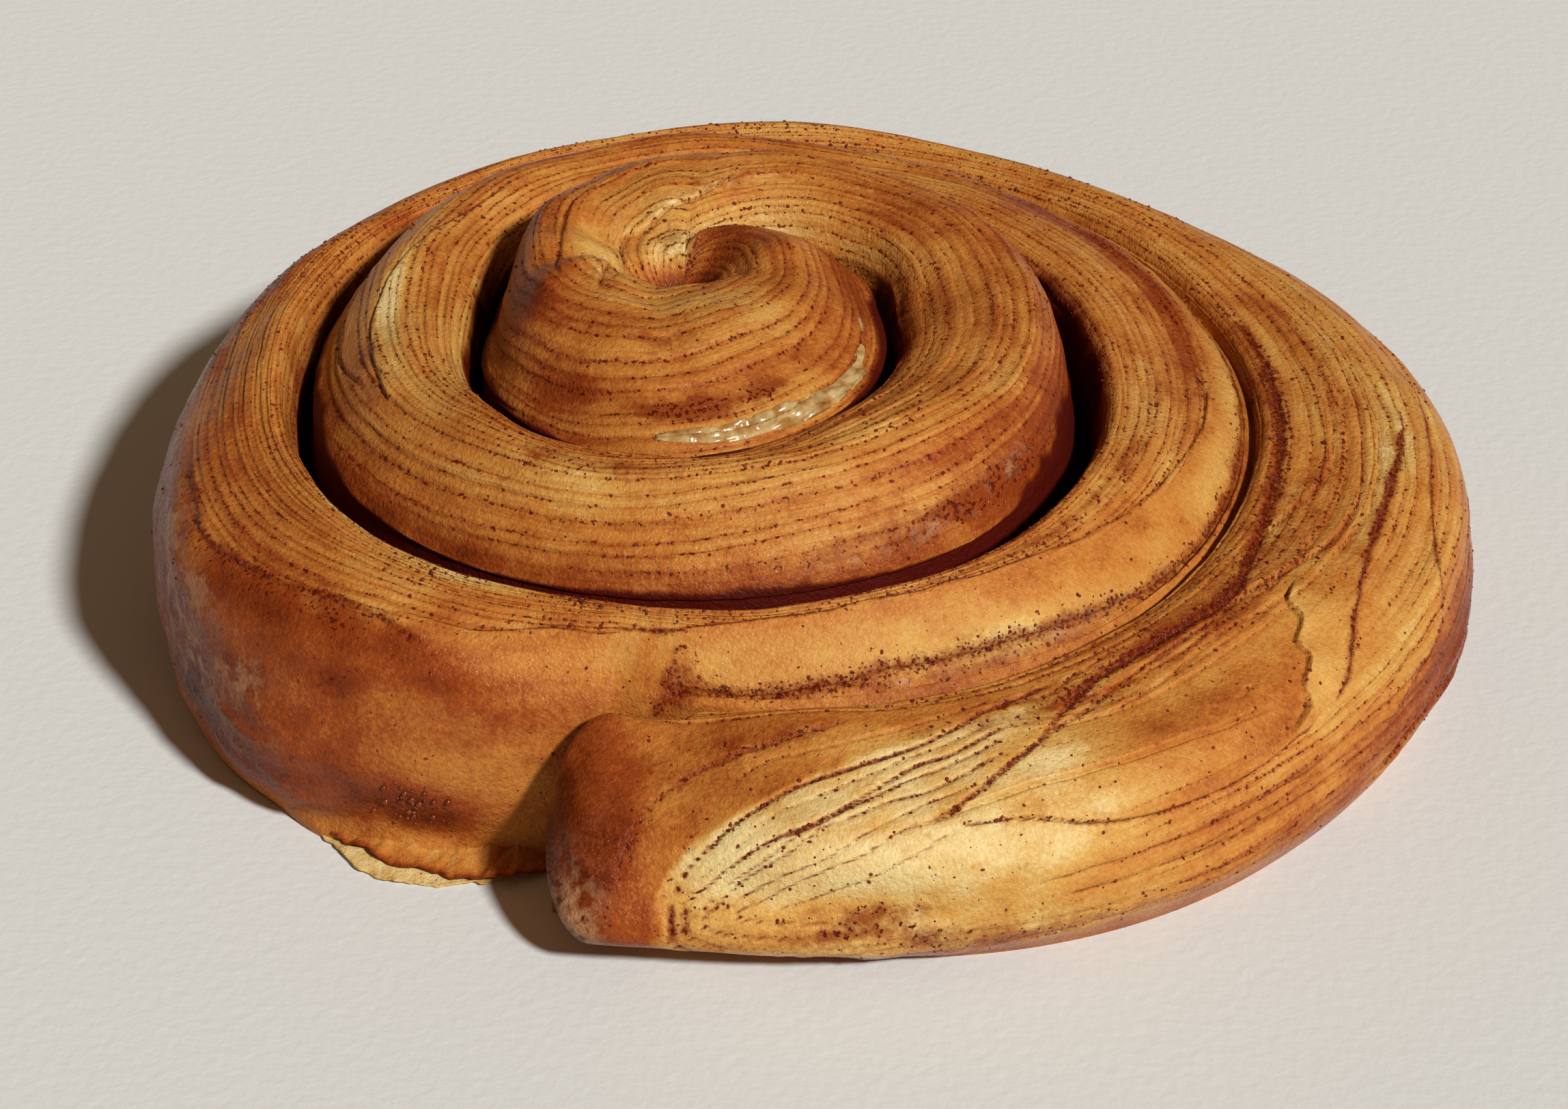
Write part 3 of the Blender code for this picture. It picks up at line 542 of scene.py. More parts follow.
# The grooves' depths, painted dark: syrup-soaked dough, and painted shade where the light does
# not reach. As theta and row: below the first on the coil inside a groove, and above the second on the
# coil outside it.
DARK_BELOW = (
    (640, -1), (745, -0.5), (795, 2.6), (850, 3.7), (900, 4), (911, 4.1), (926, 4), (936, 3.82),
    (943, 3.68), (955, 3.72), (975, 3.82), (999, 3.88), (1008, 3.85), (1016, 3.66), (1026, 3.5),
    (1032, 3.62), (1040, 3.98), (1048, 4.08), (1055, 4.2), (1064, 4.2), (1073, 4.15), (1100, 3.7),
    (1180, 3.5), (1240, 3.7), (1270, 4), (1285, 4.05), (1306, 3.9), (1325, 3.7), (1345, 3.4), (1385, 3.4),
    (1403, 3.95), (1414, 4.05), (1440, 4.05), (1462, 3.2), (1480, -1), (1520, -1),
)
DARK_ABOVE = (
    (264, 7.3), (440, 7.2), (480, 6.75), (520, 6.5), (600, 6.55), (690, 6.4), (715, 6.15), (750, 6.25),
    (800, 6.8), (850, 6.8), (870, 6.4), (882, 6.2), (897, 6.28), (930, 6.2), (950, 6.15), (975, 6.15),
    (1000, 6.35), (1040, 6.4), (1060, 6.15), (1080, 6.15), (1097, 6.35), (1120, 6.8), (1135, 7.3),
    (1520, 7.3),
)
# The next four as the browning is. Where the side that touched the tin is crumpled and torn.
CRUMPLED = (
    (552, 2, 22, 1.4, 0.42), (582, 1.5, 14, 1, 0.4), (594, 1.1, 9, 0.6, 0.45), (570, 3.9, 10, 0.4, 0.3),
    (594, 4.3, 10, 0.25, 0.3), (612, 1.8, 10, 1.2, 0.2), (286, 0.9, 12, 0.5, 0.4),
    (500, 1.6, 26, 1.4, 0.3),
)
# Cinnamon that stained the crust in patches.
STAINED = (
    (266, 3.4, 1.2, 0.6, 0.55), (267.6, 4.15, 1.3, 0.24, 0.5), (270.4, 4.6, 2, 0.16, 0.45),
    (275, 5.04, 2.6, 0.12, 0.4), (281, 5.36, 3, 0.12, 0.4), (262, 3, 2.4, 1.6, 0.45),
    (283, 1.95, 3, 0.22, 0.5), (279.5, 1.75, 2.6, 0.18, 0.4), (286.5, 2.05, 3, 0.2, 0.5),
    (284, 1.65, 5, 0.14, 0.4), (276, 5.3, 8, 0.2, 0.5), (288, 1.5, 6, 0.25, 0.45),
    (292, 1.1, 12, 0.25, 0.4), (275, 1.5, 4, 0.3, 0.4), (271.5, 1.9, 2.4, 0.5, 0.34),
    (292, 5.2, 10, 0.2, 0.3), (304, 5.3, 8, 0.2, 0.6), (575, 3.95, 9, 0.3, 0.6),
    (588, 4.15, 8, 0.25, 0.7), (597, 4.15, 4.5, 0.22, 0.7), (597, 3.25, 3, 0.25, 0.5),
    (606, 3.5, 2, 0.25, 0.5), (560, 2.4, 10, 0.5, 0.35), (574, 2.2, 6, 0.4, 0.5), (590, 1.3, 7, 0.4, 0.4),
    (604, 1.3, 5, 0.38, 0.75), (582, 2.2, 4, 0.4, 0.5), (905, 4.3, 30, 0.35, 0.1),
    (985, 5.2, 16, 0.22, 0.4), (738, 5.12, 24, 0.17, 0.9), (970, 5.15, 10, 0.2, 0.5),
    (1045, 4.35, 20, 0.3, 0.55), (1034, 4.3, 12, 0.15, 0.7), (1062, 4.9, 20, 0.3, 0.4),
    (1354, 4.32, 7, 0.1, 1.3), (1370, 4.36, 6, 0.09, 1.2), (1328, 4.42, 5, 0.1, 1.1),
    (1384, 4.5, 6, 0.08, 0.7), (1345, 4.3, 5, 0.08, 1), (1345, 4.85, 16, 0.12, 0.5),
    (1300, 4.5, 16, 0.4, 0.3), (1190, 4.8, 40, 0.4, 0.3), (640, 3.4, 16, 0.5, 0.3),
    (690, 3.95, 40, 0.22, 0.5), (655, 4.12, 20, 0.12, 0.5), (316, 5.6, 14, 0.12, 0.5),
    (1150, 5.6, 30, 0.2, 0.35), (300, 1.2, 16, 0.35, 0.3), (352, 6, 30, 0.3, 0.3),
    (1015, 4.15, 20, 0.2, 0.4), (330, 5.5, 14, 0.25, 0.5), (362, 5.4, 14, 0.12, 0.5),
    (348, 2, 26, 0.5, 0.45), (700, 5.55, 26, 0.12, 0.5), (660, 5.5, 26, 0.2, 0.35),
    (1480, 5.3, 30, 0.4, 0.3),
)
# Syrup that set glossy on the crust.
WET = (
    (604, 1.2, 4, 0.4, 0.4), (1372, 4, 34, 0.2, 0.3), (315, 6.1, 16, 0.4, 0.5), (285, 1, 20, 0.4, 0.7),
    (645, 3.7, 18, 0.35, 0.25), (1040, 4.1, 20, 0.25, 0.6), (311, 3.55, 4, 0.25, 0.7),
    (316, 5, 3, 0.15, 0.7), (1420, 4.3, 16, 0.25, 0.6), (606, 3, 12, 0.8, 0.3),
)
# Icing sugar that dried to a thin frost.
FROSTED = (
    (568, 3, 9, 0.9, 0.95), (578, 3.3, 5, 0.5, 0.5), (577, 2.3, 6, 0.5, 0.6), (572, 1.6, 8, 0.7, 0.5),
    (586, 2, 5, 0.5, 0.6), (566, 3.7, 8, 0.3, 0.5), (262.5, 1.9, 2.6, 1.3, 0.9),
    (1262, 4.85, 6, 0.13, 0.8), (1290, 5.05, 4, 0.1, 0.6), (1026, 4.22, 5, 0.08, 0.9),
    (1012, 4.08, 6, 0.07, 0.8), (1040, 4.35, 5, 0.1, 0.6), (675, 4.2, 14, 0.12, 0.7),
    (540, 2.6, 14, 1.4, 0.35), (586, 2.7, 5, 0.35, 0.5),
)


# The last map, gap, marks the grooves' depths: syrup colour and painted shade.
MAPS = ("bake", "stain", "wet", "frost", "gap")


def crust_maps(theta, rows, s, p, filling, tone, shown, count):
    """The crust's browning, stains, gloss, frost and the grooves' depths (syrup colour and painted shade)
    at each place, each 0 to 1.
    """
    level = p * 0.0
    layer = np.floor(count)
    part = count - layer
    wall = smooth_step((3.6 - rows) / 1.2)
    # tone is the seams' painted shade and light on their raised sides.
    bake = 0.39 + 0.05 * wall * (theta < 600.0) + spots(theta, rows, BAKED) + tone
    bake = bake + 0.07 * lumpy(s / 9.0, p / 4.0, 11) + 0.05 * lumpy(s / 3.0, p / 1.6, 12) - 0.04 * shown
    # Each cut sheet has its own tone, and is darkest at its two sides.
    bake = bake + shown * 0.03 * scattered(layer, np.zeros_like(layer), 21)
    bake = bake + shown * (0.045 * lumpy(s / 7.0, layer * 3.7, 22) - 0.025 * np.sin(2.0 * np.pi * part))
    bake = bake + shown * (0.07 * np.abs(2.0 * part - 1.0) ** 2 - 0.02)
    # The pale cut face at the strip's end.
    top = np.interp(theta, *FACE_TOP) + 0.05 * lumpy(s / 1.5, level, 18)
    face = smooth_step((top - rows) / 0.16) * smooth_step((rows - 0.75) / 0.3)
    face = face * smooth_step((theta - 267.9) / 1.6) * smooth_step((310.0 - theta) / 12.0)
    paler = 0.2 + 0.12 * smooth_step((298.0 - theta) / 16.0) + 0.05 * lumpy(s / 2.5, p / 1.5, 19)
    bake = bake - paler * face
    # The grooves' depths in syrup colour and painted shade, ragged at their edge; browner painted shade
    # beside them.
    ragged = 0.10 * lumpy(s / 2.2, level, 14) + 0.05 * lumpy(s / 0.8, level, 15)
    below = np.interp(theta, *zip(*DARK_BELOW)) - rows + ragged
    above = rows - np.interp(theta, *zip(*DARK_ABOVE)) + ragged
    gap = np.maximum(smooth_step(below / 0.22 + 0.5), smooth_step(above / 0.35 + 0.5))
    gap = gap * smooth_step((theta - 268.0) / 12.0)
    shade = hump(np.minimum(below, 0.0), 0.0, 0.5) * (theta > 690.0)
    shade = shade + hump(np.minimum(above, 0.0), 0.0, 0.5)
    bake = bake + 0.10 * np.clip(shade, 0.0, 1.0) * smooth_step((theta - 400.0) / 60.0) + 0.3 * gap
    # Cinnamon stains: patches, what seeped along the sheets' edges, and the seams' filling.
    stain = spots(theta, rows, STAINED) * (0.75 + 0.4 * lumpy(s / 2.0, p / 1.1, 13))
    seeped = 0.25 + 0.8 * lumpy(s / 9.0, layer * 2.9, 16) + 0.3 * lumpy(s / 2.2, layer * 4.1, 17)
    near_edge = hump(np.minimum(part, 1.0 - part), 0.0, 0.2)
    stain = np.maximum(stain + 0.32 * shown * near_edge * np.clip(seeped, 0.0, 1.0), filling)
    wet = spots(theta, rows, WET) * (1.0 - gap)
    frost = spots(theta, rows, FROSTED)
    return [np.clip(values, 0.0, 1.0) for values in (bake, stain, wet, frost, gap)]


def relief(theta, rows, s, p, count, shown, seams):
    """How far the crust stands off the plain form, in mm."""
    layer = np.floor(count)
    part = count - layer

    def lift(sheet):
        height = 0.08 * scattered(sheet, np.zeros_like(sheet), 31) + 0.09 * lumpy(s / 9.0, sheet * 5.3, 32)
        return height + 0.05 * lumpy(s / 2.6, sheet * 3.1, 33)

    # Each cut sheet steps up from the one before and is plump along its middle.
    before = lift(layer - 1)
    plump = (1.0 - np.abs(2.0 * part - 1.0) ** 5) * 0.11 * (0.5 + 0.6 * lumpy(s / 8.0, layer * 4.7, 40))
    sheets = before + (lift(layer) - before) * smooth_step(part / 0.25) + plump + 0.06 * (1.0 - part)
    height = shown * sheets + seams + 0.06 * lumpy(s / 2.6, p / 2.2, 34)
    # Where no sheets show, the skin has low blisters.
    smooth = (1.0 - shown) * smooth_step((rows - 2.4) / 0.8)
    blisters = 0.10 * np.maximum(0.0, lumpy(s / 1.4, p / 1.2, 36)) ** 2 + 0.03 * lumpy(s / 0.8, p / 0.7, 35)
    height = height + smooth * blisters
    folds = 1.0 - np.abs(lumpy(s / 6.5 + 0.15 * p, p / 2.6, 37))
    folds = 0.6 * folds**3 + 0.35 * lumpy(s / 2.2, p / 1.8, 38) + 0.22 * lumpy(s / 0.9, p / 0.8, 39)
    height = height + spots(theta, rows, CRUMPLED) * folds
    # It eases off at the strip's tip, at its foot and down in the grooves.
    height = height * (1.0 - 0.85 * smooth_step((theta - 1440.0) / 60.0))
    foot = np.where(theta < SECOND_TURN, smooth_step((rows - 0.05) / 0.3), smooth_step(rows / 0.9))
    return height * foot * smooth_step((6.9 - rows) / 0.5)


def row_places():
    """The grid's rows: so many in each span between two points of the section."""
    rows = [0.0]
    for k, count in enumerate(ROWS_PER_SPAN):
        rows += [k + (i + 1) / count for i in range(count)]
    return np.array(rows)


def column_places(spans):
    """The columns of a coil's grid, as far apart as its spans say."""
    theta = []
    for start, stop, step in spans:
        count = max(1, round((stop - start) / step))
        theta += list(np.linspace(start, stop, count, endpoint=False))
    return np.array(theta + [spans[-1][1]])


def settle_heart(theta, points):
    """Eases the coil's end into one bowl, a little behind the solid's hollow, and returns
    each point's place east and north of the bowl's middle, in mm."""
    away = np.linalg.norm(points[..., :2] - (HEART_MIDDLE - HEART_SHIFT), axis=-1)
    points[..., :2] += HEART_SHIFT * hump(away, 0.0, 5.5)[..., None]
    x, y = points[..., 0] - HEART_MIDDLE[0], points[..., 1] - HEART_MIDDLE[1]
    bowl = 29.3 + 0.10 * x + 0.15 * y
    bowl = bowl - 3.7 * patch(x, y, -0.2, 0.1, 3.9, 2.5) + 0.9 * patch(x, y, 5.5, 0.5, 2.4, 2.5)
    near = hump(np.hypot(x / 1.15, y), 0.0, 5.6, 6) * smooth_step((theta[:, None] - 1090.0) / 30.0)
    points[..., 2] += (bowl - points[..., 2]) * near
    return x, y


class Dough:
    """A stretch of the strip on a grid of theta and row, with its relief and its maps."""

    def __init__(self, theta, rows, props):
        self.theta, self.rows = theta, rows
        column, row = theta[:, None], rows[None, :]
        held = np.maximum(column, TAIL)
        plain = plain_surface(held[:, 0], rows)
        if theta[0] < TAIL:
            self.swell_nose(plain)
        self.p = arc_length(plain)
        self.s = np.interp(column, *strip_lengths()) * np.ones_like(self.p)
        x, y = settle_heart(theta, plain)
        self.count = layer_count(held, row, self.s, self.p)
        self.shown = layered(held, row) * np.ones_like(self.p)
        seams, self.filling, tone = seam_relief(self.s, self.p)
        self.maps = crust_maps(column, row, self.s, self.p, self.filling, tone, self.shown, self.count)
        # The hollow in the heart is brown inside, darkest in its middle as painted shade in the pit,
        # with a pale side behind, and has no relief.
        late = column > 1090.0
        hollow = 0.42 * patch(x, y, 0.6, -0.1, 3.4, 2.0) - 0.26 * patch(x, y, -0.6, 3.0, 3.2, 1.1)
        self.maps[0] = np.clip(self.maps[0] + hollow * late, 0.0, 1.0)
        lifted = relief(held, row, self.s, self.p, self.count, self.shown * props.layer_relief, seams)
        lifted = lifted * np.where(late, smooth_step((np.hypot(x, y) - 0.7) / 1.8), 1.0)
        self.points = plain + facing(plain) * lifted[..., None]
        self.points[..., 2] = np.maximum(self.points[..., 2], 0.0)
        self.normals = facing(self.points)

    def swell_nose(self, plain):
        """Bends the columns before the strip's start into its rounded end."""
        before = np.where(self.theta < TAIL)[0]
        rim = plain[len(before)].copy()
        east, north = direction(TAIL)
        leftward = np.array([north, -east, 0.0])
        middle = rim.mean(axis=0) * (1.0, 1.0, NOSE_LOW)
        for j in before:
            swing = math.radians(90.0 * (len(before) - j) / (len(before) + 1.0))
            bulge = leftward * NOSE_BULGE * math.sin(swing)
            plain[j] = middle + (rim - middle) * math.cos(swing) + bulge


def facing(points):
    """Unit normals of a grid of points, outward."""
    normal = np.cross(np.gradient(points, axis=0), np.gradient(points, axis=1))
    length = np.linalg.norm(normal, axis=-1, keepdims=True)
    return normal / np.maximum(length, 1e-9)


def under_points(theta, points):
    """The hidden points that close a coil below: down its inner side, along its foot and up."""
    plan_in, top_in = points[:, -1, :2], points[:, -1, 2]
    plan_out, top_out = points[:, 0, :2], points[:, 0, 2]
    gap = plan_in - plan_out
    width = np.linalg.norm(gap, axis=-1)
    inward = gap / np.maximum(width, 1e-6)[:, None]
    tuck = inward * np.minimum(1.2, 0.35 * width)[:, None]
    closing = smooth_step((theta - (CLOSES - 12.0)) / 12.0)
    under = []
    for z in (np.maximum(top_in - 0.8, 0.01), np.minimum(np.maximum(top_in - 0.9, 0.0), KERB)):
        plan = plan_in + OVERHANG * inward
        plan = plan + (HEART_MIDDLE - plan) * closing[:, None]
        under.append((plan, z + (np.minimum(z, HEART_FLOOR) - z) * closing))
    floor = np.zeros(len(theta))
    under += [(plan_in - tuck, floor), (plan_out + tuck, floor)]
    # On the first turn the outer side is the roll's wall, which stands on the floor.
    first = theta < SECOND_TURN
    for foot, z in ((0.6, floor + KERB), (0.3, np.maximum(top_out - 0.8, 0.0))):
        shift = np.where(first, foot, -OVERHANG)
        under.append((plan_out + inward * shift[:, None], np.where(first, 0.0, z)))
    return np.stack([np.concatenate([plan, z[:, None]], 1) for plan, z in under], 1)


def solid_mesh(name, vertices, faces):
    """A smooth closed mesh from points in mm, its faces turned outwards."""
    mesh = bpy.data.meshes.new(name)
    mesh.from_pydata((vertices * MM).tolist(), [], faces)
    mesh.shade_smooth()
    mesh.calc_loop_triangles()
    triangles = np.zeros(len(mesh.loop_triangles) * 3, np.int32)
    mesh.loop_triangles.foreach_get("vertices", triangles)
    a, b, c = vertices[triangles.reshape(-1, 3).T]
    if (a * np.cross(b, c)).sum() < 0.0:
        mesh.flip_normals()
    return mesh


def tube_faces(n, m):
    """Faces of a tube of n rings of m points, each end closed to a point after the last ring."""
    j, i = np.meshgrid(np.arange(n - 1), np.arange(m), indexing="ij")
    k = (i + 1) % m
    sides = np.stack([j * m + i, (j + 1) * m + i, (j + 1) * m + k, j * m + k], -1).reshape(-1, 4)
    a, b = i[0], k[0]
    last = (n - 1) * m
    start = np.stack([a, b, np.full(m, n * m)], -1)
    stop = np.stack([last + b, last + a, np.full(m, n * m + 1)], -1)
    return sides.tolist() + start.tolist() + stop.tolist()


def closed_tube(name, rings):
    """A closed mesh through rings of points, its two ends capped."""
    caps = rings[[0, -1]].mean(axis=1)
    return solid_mesh(name, np.concatenate([rings.reshape(-1, 3), caps]), tube_faces(*rings.shape[:2]))


def paint(mesh, **maps):
    """Writes maps onto a mesh as attributes: a number or a vector to each point."""
    for name, values in maps.items():
        kind, key = ("FLOAT_VECTOR", "vector") if values.ndim > 1 else ("FLOAT", "value")
        data = mesh.attributes.new(name, kind, "POINT").data
        data.foreach_set(key, values.astype(np.float32).ravel())


def coil_mesh(name, dough, keep):
    """A closed mesh of a stretch of the strip, with its maps as attributes."""
    span = slice(*keep)
    points = dough.points[span]
    under = under_points(np.maximum(dough.theta[span], TAIL), points)
    rings = np.concatenate([points, under], 1)
    mesh = closed_tube(name, rings)
    columns, ring = rings.shape[:2]
    shown, half = points.shape[1], under.shape[1] // 2

    def on_mesh(values):
        """A map with its edges carried on over the hidden points, and two values for the caps."""
        values = values[span]
        edges = np.repeat(values[:, -1:], half, 1), np.repeat(values[:, :1], half, 1)
        values = np.concatenate([values, *edges], 1).ravel()
        return np.concatenate([values, values[:2]])

    paint(mesh, strip=np.stack([on_mesh(values) for values in (dough.s, dough.p, dough.count)], -1))
    named = dict(zip(MAPS, dough.maps), lined=dough.shown, filling=dough.filling)
    paint(mesh, **{key: on_mesh(values) for key, values in named.items()})

    # Shown faces take the finer normals of the grid, and hidden faces stay flat.
    own = np.zeros_like(rings)
    own[:, :shown] = dough.normals[span]
    own = np.concatenate([own.reshape(-1, 3), np.zeros((2, 3))])
    corner = np.empty(len(mesh.loops), np.int32)
    mesh.loops.foreach_get("vertex_index", corner)
    flat = np.empty(len(mesh.polygons) * 3, np.float32)
    mesh.polygons.foreach_get("normal", flat)
    sides = (columns - 1) * ring
    face = np.repeat(np.arange(sides + 2 * ring), np.repeat((4, 3), (sides, 2 * ring)))
    hidden = np.concatenate([np.tile(np.arange(ring) >= shown - 1, columns - 1), np.ones(2 * ring, bool)])
    normals = np.where(hidden[face][:, None], flat.reshape(-1, 3)[face], own[corner])
    mesh.normals_split_custom_set(normals.tolist())
    return mesh


def link_piece(name, mesh, material):
    """Puts a finished mesh into the scene as a piece that rides on the roll."""
    mesh.name = name
    mesh.materials.clear()
    mesh.materials.append(material)
    piece = bpy.data.objects.new(name, mesh)
    bpy.context.scene.collection.objects.link(piece)
    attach(piece, BODY)
    return piece


# ---------------------------------------------------------------- colours and nodes


def linear(code):
    """A colour written as sRGB hex, as Blender's linear red, green, blue and alpha."""
    parts = [int(code[k : k + 2], 16) / 255.0 for k in (1, 3, 5)]
    return [c / 12.92 if c <= 0.04045 else ((c + 0.055) / 1.055) ** 2.4 for c in parts] + [1.0]


def add_node(tree, kind, inputs=None, stops=(), **settings):
    """Adds a node with its settings. An input is linked if it is given a socket or a node,
    whose first output it takes. A ramp's stops are given with its two ends first."""
    node = tree.nodes.new(kind)
    for name, value in settings.items():
        setattr(node, name, value)
    for key, value in (inputs or {}).items():
        if isinstance(value, bpy.types.Node):
            value = value.outputs[0]
        if isinstance(value, bpy.types.NodeSocket):
            tree.links.new(value, node.inputs[key])
        else:
            node.inputs[key].default_value = value
    for k, (place, colour) in enumerate(stops):
        element = node.color_ramp.elements[k] if k < 2 else node.color_ramp.elements.new(place)
        element.position, element.color = place, colour
    return node


def new_material(name, constants):
    """An empty material: its node tree and its shader, which has these constants."""
    material = bpy.data.materials.new(name)
    material.use_nodes = True
    tree = material.node_tree
    tree.nodes.clear()
    shader = add_node(tree, "ShaderNodeBsdfPrincipled", constants)
    add_node(tree, "ShaderNodeOutputMaterial", {"Surface": shader})
    return material, tree, shader


def crust_material(props):
    """Egg-washed laminated dough, baked in an oven: a thin crisp skin, pale and faintly
    see-through where sheets were pulled apart, gold to deep brown where heat reached it,
    with a satin gloss from the wash and fine blisters."""
    material, tree, shader = new_material("egg_washed_laminated_dough_baked", {
        "IOR": 1.33, "Specular IOR Level": 0.2, "Coat Roughness": 0.1, "Coat IOR": 1.3,
        "Subsurface Weight": 0.1, "Subsurface Radius": (1.0, 0.4, 0.15), "Subsurface Scale": 0.0012})
    place = add_node(tree, "ShaderNodeTexCoord").outputs["Object"]
    strip = add_node(tree, "ShaderNodeAttribute", attribute_name="strip").outputs["Vector"]
    count = add_node(tree, "ShaderNodeSeparateXYZ", {0: strip}).outputs["Z"]
    bake, stain, wet, frost, gap, lined, filling = (
        add_node(tree, "ShaderNodeAttribute", attribute_name=name).outputs["Fac"]
        for name in (*MAPS, "lined", "filling"))

    # Noises about 0. A scale counts lumps to a metre, so 250 gives lumps 4 mm across. Along
    # the strip it counts them to 5 mm of its length and 0.4 mm of its width.
    stretched = add_node(tree, "ShaderNodeVectorMath", {0: strip, 1: (0.2, 2.5, 0.0)}, operation="MULTIPLY")
    noises = []
    for vector, scale, detail, roughness in (
            (stretched, 1.0, 2.0, 0.6),     # streaks along the strip
            (place, 250.0, 3.0, 0.6),       # mottling, 4 mm across
            (place, 2000.0, 3.0, 0.7),      # the blistered skin, 0.5 mm
            (place, 2900.0, 2.0, 0.6),      # its finest grain, 0.35 mm
            (place, 1100.0, 4.0, 0.7),      # crumbs that soaked up butter, 0.9 mm
            (place, 2300.0, 1.0, 0.6),      # dots of cinnamon, 0.4 mm
            (place, 190.0, 6.0, 0.68)):     # torn patches of frost, 5 mm
        noise = add_node(tree, "ShaderNodeTexNoise", {
            "Vector": vector, "Scale": scale, "Detail": detail, "Roughness": roughness})
        noises.append(add_node(tree, "ShaderNodeMath", {0: noise, 1: 0.5}, operation="SUBTRACT"))
    streaks, mottle, skin, grain, crumbs, dots, veil = noises
    streaks = add_node(tree, "ShaderNodeMath", {0: streaks, 1: lined}, operation="MULTIPLY")
    bubbles = add_node(tree, "ShaderNodeTexVoronoi", {"Vector": place, "Scale": 4300.0}).outputs["Distance"]
    veins = add_node(tree, "ShaderNodeMath", {0: veil}, operation="ABSOLUTE")
    rough = add_node(tree, "ShaderNodeMapRange", {0: grain, 1: -0.2, 2: 0.2, 3: 0.1, 4: 0.42})

    # Sums: a base, and how much of each part is added to it.
    sums = []
    for total, parts in (
            (bake, ((bubbles, 0.08), (skin, 0.26), (streaks, 0.12), (mottle, 0.26))),
            (stain, ((grain, 0.5), (crumbs, 1.0), (mottle, 0.9))),
            (count, ((grain, 0.16),)),
            (dots, ((stain, 0.22),)),
            (0.0, ((filling, 0.72), (dots, 1.6))),
            (veins, ((veil, -0.3), (mottle, -0.3))),
            (rough, ((wet, -0.3), (gap, 0.3), (frost, 0.1)))):
        for part, amount in parts:
            total = add_node(tree, "ShaderNodeMath", {0: part, 1: amount, 2: total},
                             operation="MULTIPLY_ADD")
        sums.append(total)
    browned, soaked, wavy, speck, pressed, veins, rough = sums

    # The cut edges of the sheets: a fine red-brown line where each meets the next, plain for
    # a few mm and then faint.
    edge = add_node(tree, "ShaderNodeMath", {0: wavy}, operation="ROUND")
    off = add_node(tree, "ShaderNodeMath", {0: wavy, 1: edge}, operation="SUBTRACT")
    off = add_node(tree, "ShaderNodeMath", {0: off}, operation="ABSOLUTE")
    each = add_node(tree, "ShaderNodeCombineXYZ", {1: edge})
    each = add_node(tree, "ShaderNodeVectorMath", {0: each, 1: (1.0, 7.3, 0.0), 2: stretched},
                    operation="MULTIPLY_ADD")
    kept = add_node(tree, "ShaderNodeTexNoise", {
        "Vector": each, "Scale": 0.6, "Detail": 1.0, "Roughness": 0.6})
    plain = add_node(tree, "ShaderNodeMapRange", {0: kept, 1: 0.36, 2: 0.64, 3: 0.1, 4: 0.8})
    fine = add_node(tree, "ShaderNodeMapRange", {0: off, 1: 0.09, 2: 0.0})
    fine = add_node(tree, "ShaderNodeMath", {0: fine, 1: plain}, operation="MULTIPLY")
    fine = add_node(tree, "ShaderNodeMath", {0: fine, 1: lined}, operation="MULTIPLY")
    # A fainter line runs half way between, where a sheet was folded once more.
    twice = add_node(tree, "ShaderNodeMath", {0: wavy, 1: 2.0, 2: plain}, operation="MULTIPLY_ADD")
    nearest = add_node(tree, "ShaderNodeMath", {0: twice}, operation="ROUND")
    folded = add_node(tree, "ShaderNodeMath", {0: twice, 1: nearest}, operation="SUBTRACT")
    folded = add_node(tree, "ShaderNodeMath", {0: folded}, operation="ABSOLUTE")
    folded = add_node(tree, "ShaderNodeMapRange", {0: folded, 1: 0.2, 2: 0.02, 4: 0.28})
    folded = add_node(tree, "ShaderNodeMath", {0: folded, 1: lined}, operation="MULTIPLY")
    # Dots of cinnamon 0.4 mm apart along the lines, in the soaked patches and in the seams.
    dotted = add_node(tree, "ShaderNodeMath", {0: plain, 1: 0.08, 2: dots}, operation="MULTIPLY_ADD")
    dotted = add_node(tree, "ShaderNodeMapRange", {0: dotted, 1: 0.12, 2: 0.2})
    line = add_node(tree, "ShaderNodeMapRange", {0: off, 1: 0.19, 2: 0.05})
    line = add_node(tree, "ShaderNodeMath", {0: line, 1: dotted}, operation="MULTIPLY")
    line = add_node(tree, "ShaderNodeMath", {0: line, 1: lined}, operation="MULTIPLY")
    speck = add_node(tree, "ShaderNodeMapRange", {0: speck, 1: 0.24, 2: 0.30})
    line = add_node(tree, "ShaderNodeMath", {0: line, 1: speck}, operation="MAXIMUM")
    pressed = add_node(tree, "ShaderNodeMapRange", {0: pressed, 1: 0.42, 2: 0.7, 4: 0.9})
    line = add_node(tree, "ShaderNodeMath", {0: line, 1: pressed}, operation="MAXIMUM")
    # Frost: a pale veil torn into patches, thin enough to see the crust through.
    veins = add_node(tree, "ShaderNodeMapRange", {0: veins, 1: 0.05, 2: -0.03})
    veins = add_node(tree, "ShaderNodeMath", {0: veins, 1: frost}, operation="MULTIPLY")
    veins = add_node(tree, "ShaderNodeMath", {0: veins, 1: 0.62}, operation="MULTIPLY")
    soaked = add_node(tree, "ShaderNodeMapRange", {0: soaked, 1: 0.16, 2: 0.72, 4: 0.85})

    # The crust's own brown first, and over it butter, lines, cinnamon, frost and the grooves'
    # depths in syrup colour and painted shade.
    colour = add_node(tree, "ShaderNodeValToRGB", {0: browned}, stops=(
        (0.0, props.pale), (1.0, props.burnt), (0.2, props.straw), (0.4, props.gold),
        (0.58, props.amber), (0.78, props.brown))).outputs[0]
    for factor, over in ((soaked, props.soaked), (fine, props.line), (folded, props.line),
                         (line, props.cinnamon_dark), (veins, props.frost), (gap, props.gap)):
        colour = add_node(tree, "ShaderNodeMix", {"Factor": factor, "A": colour, "B": over},
                          data_type="RGBA").outputs["Result"]
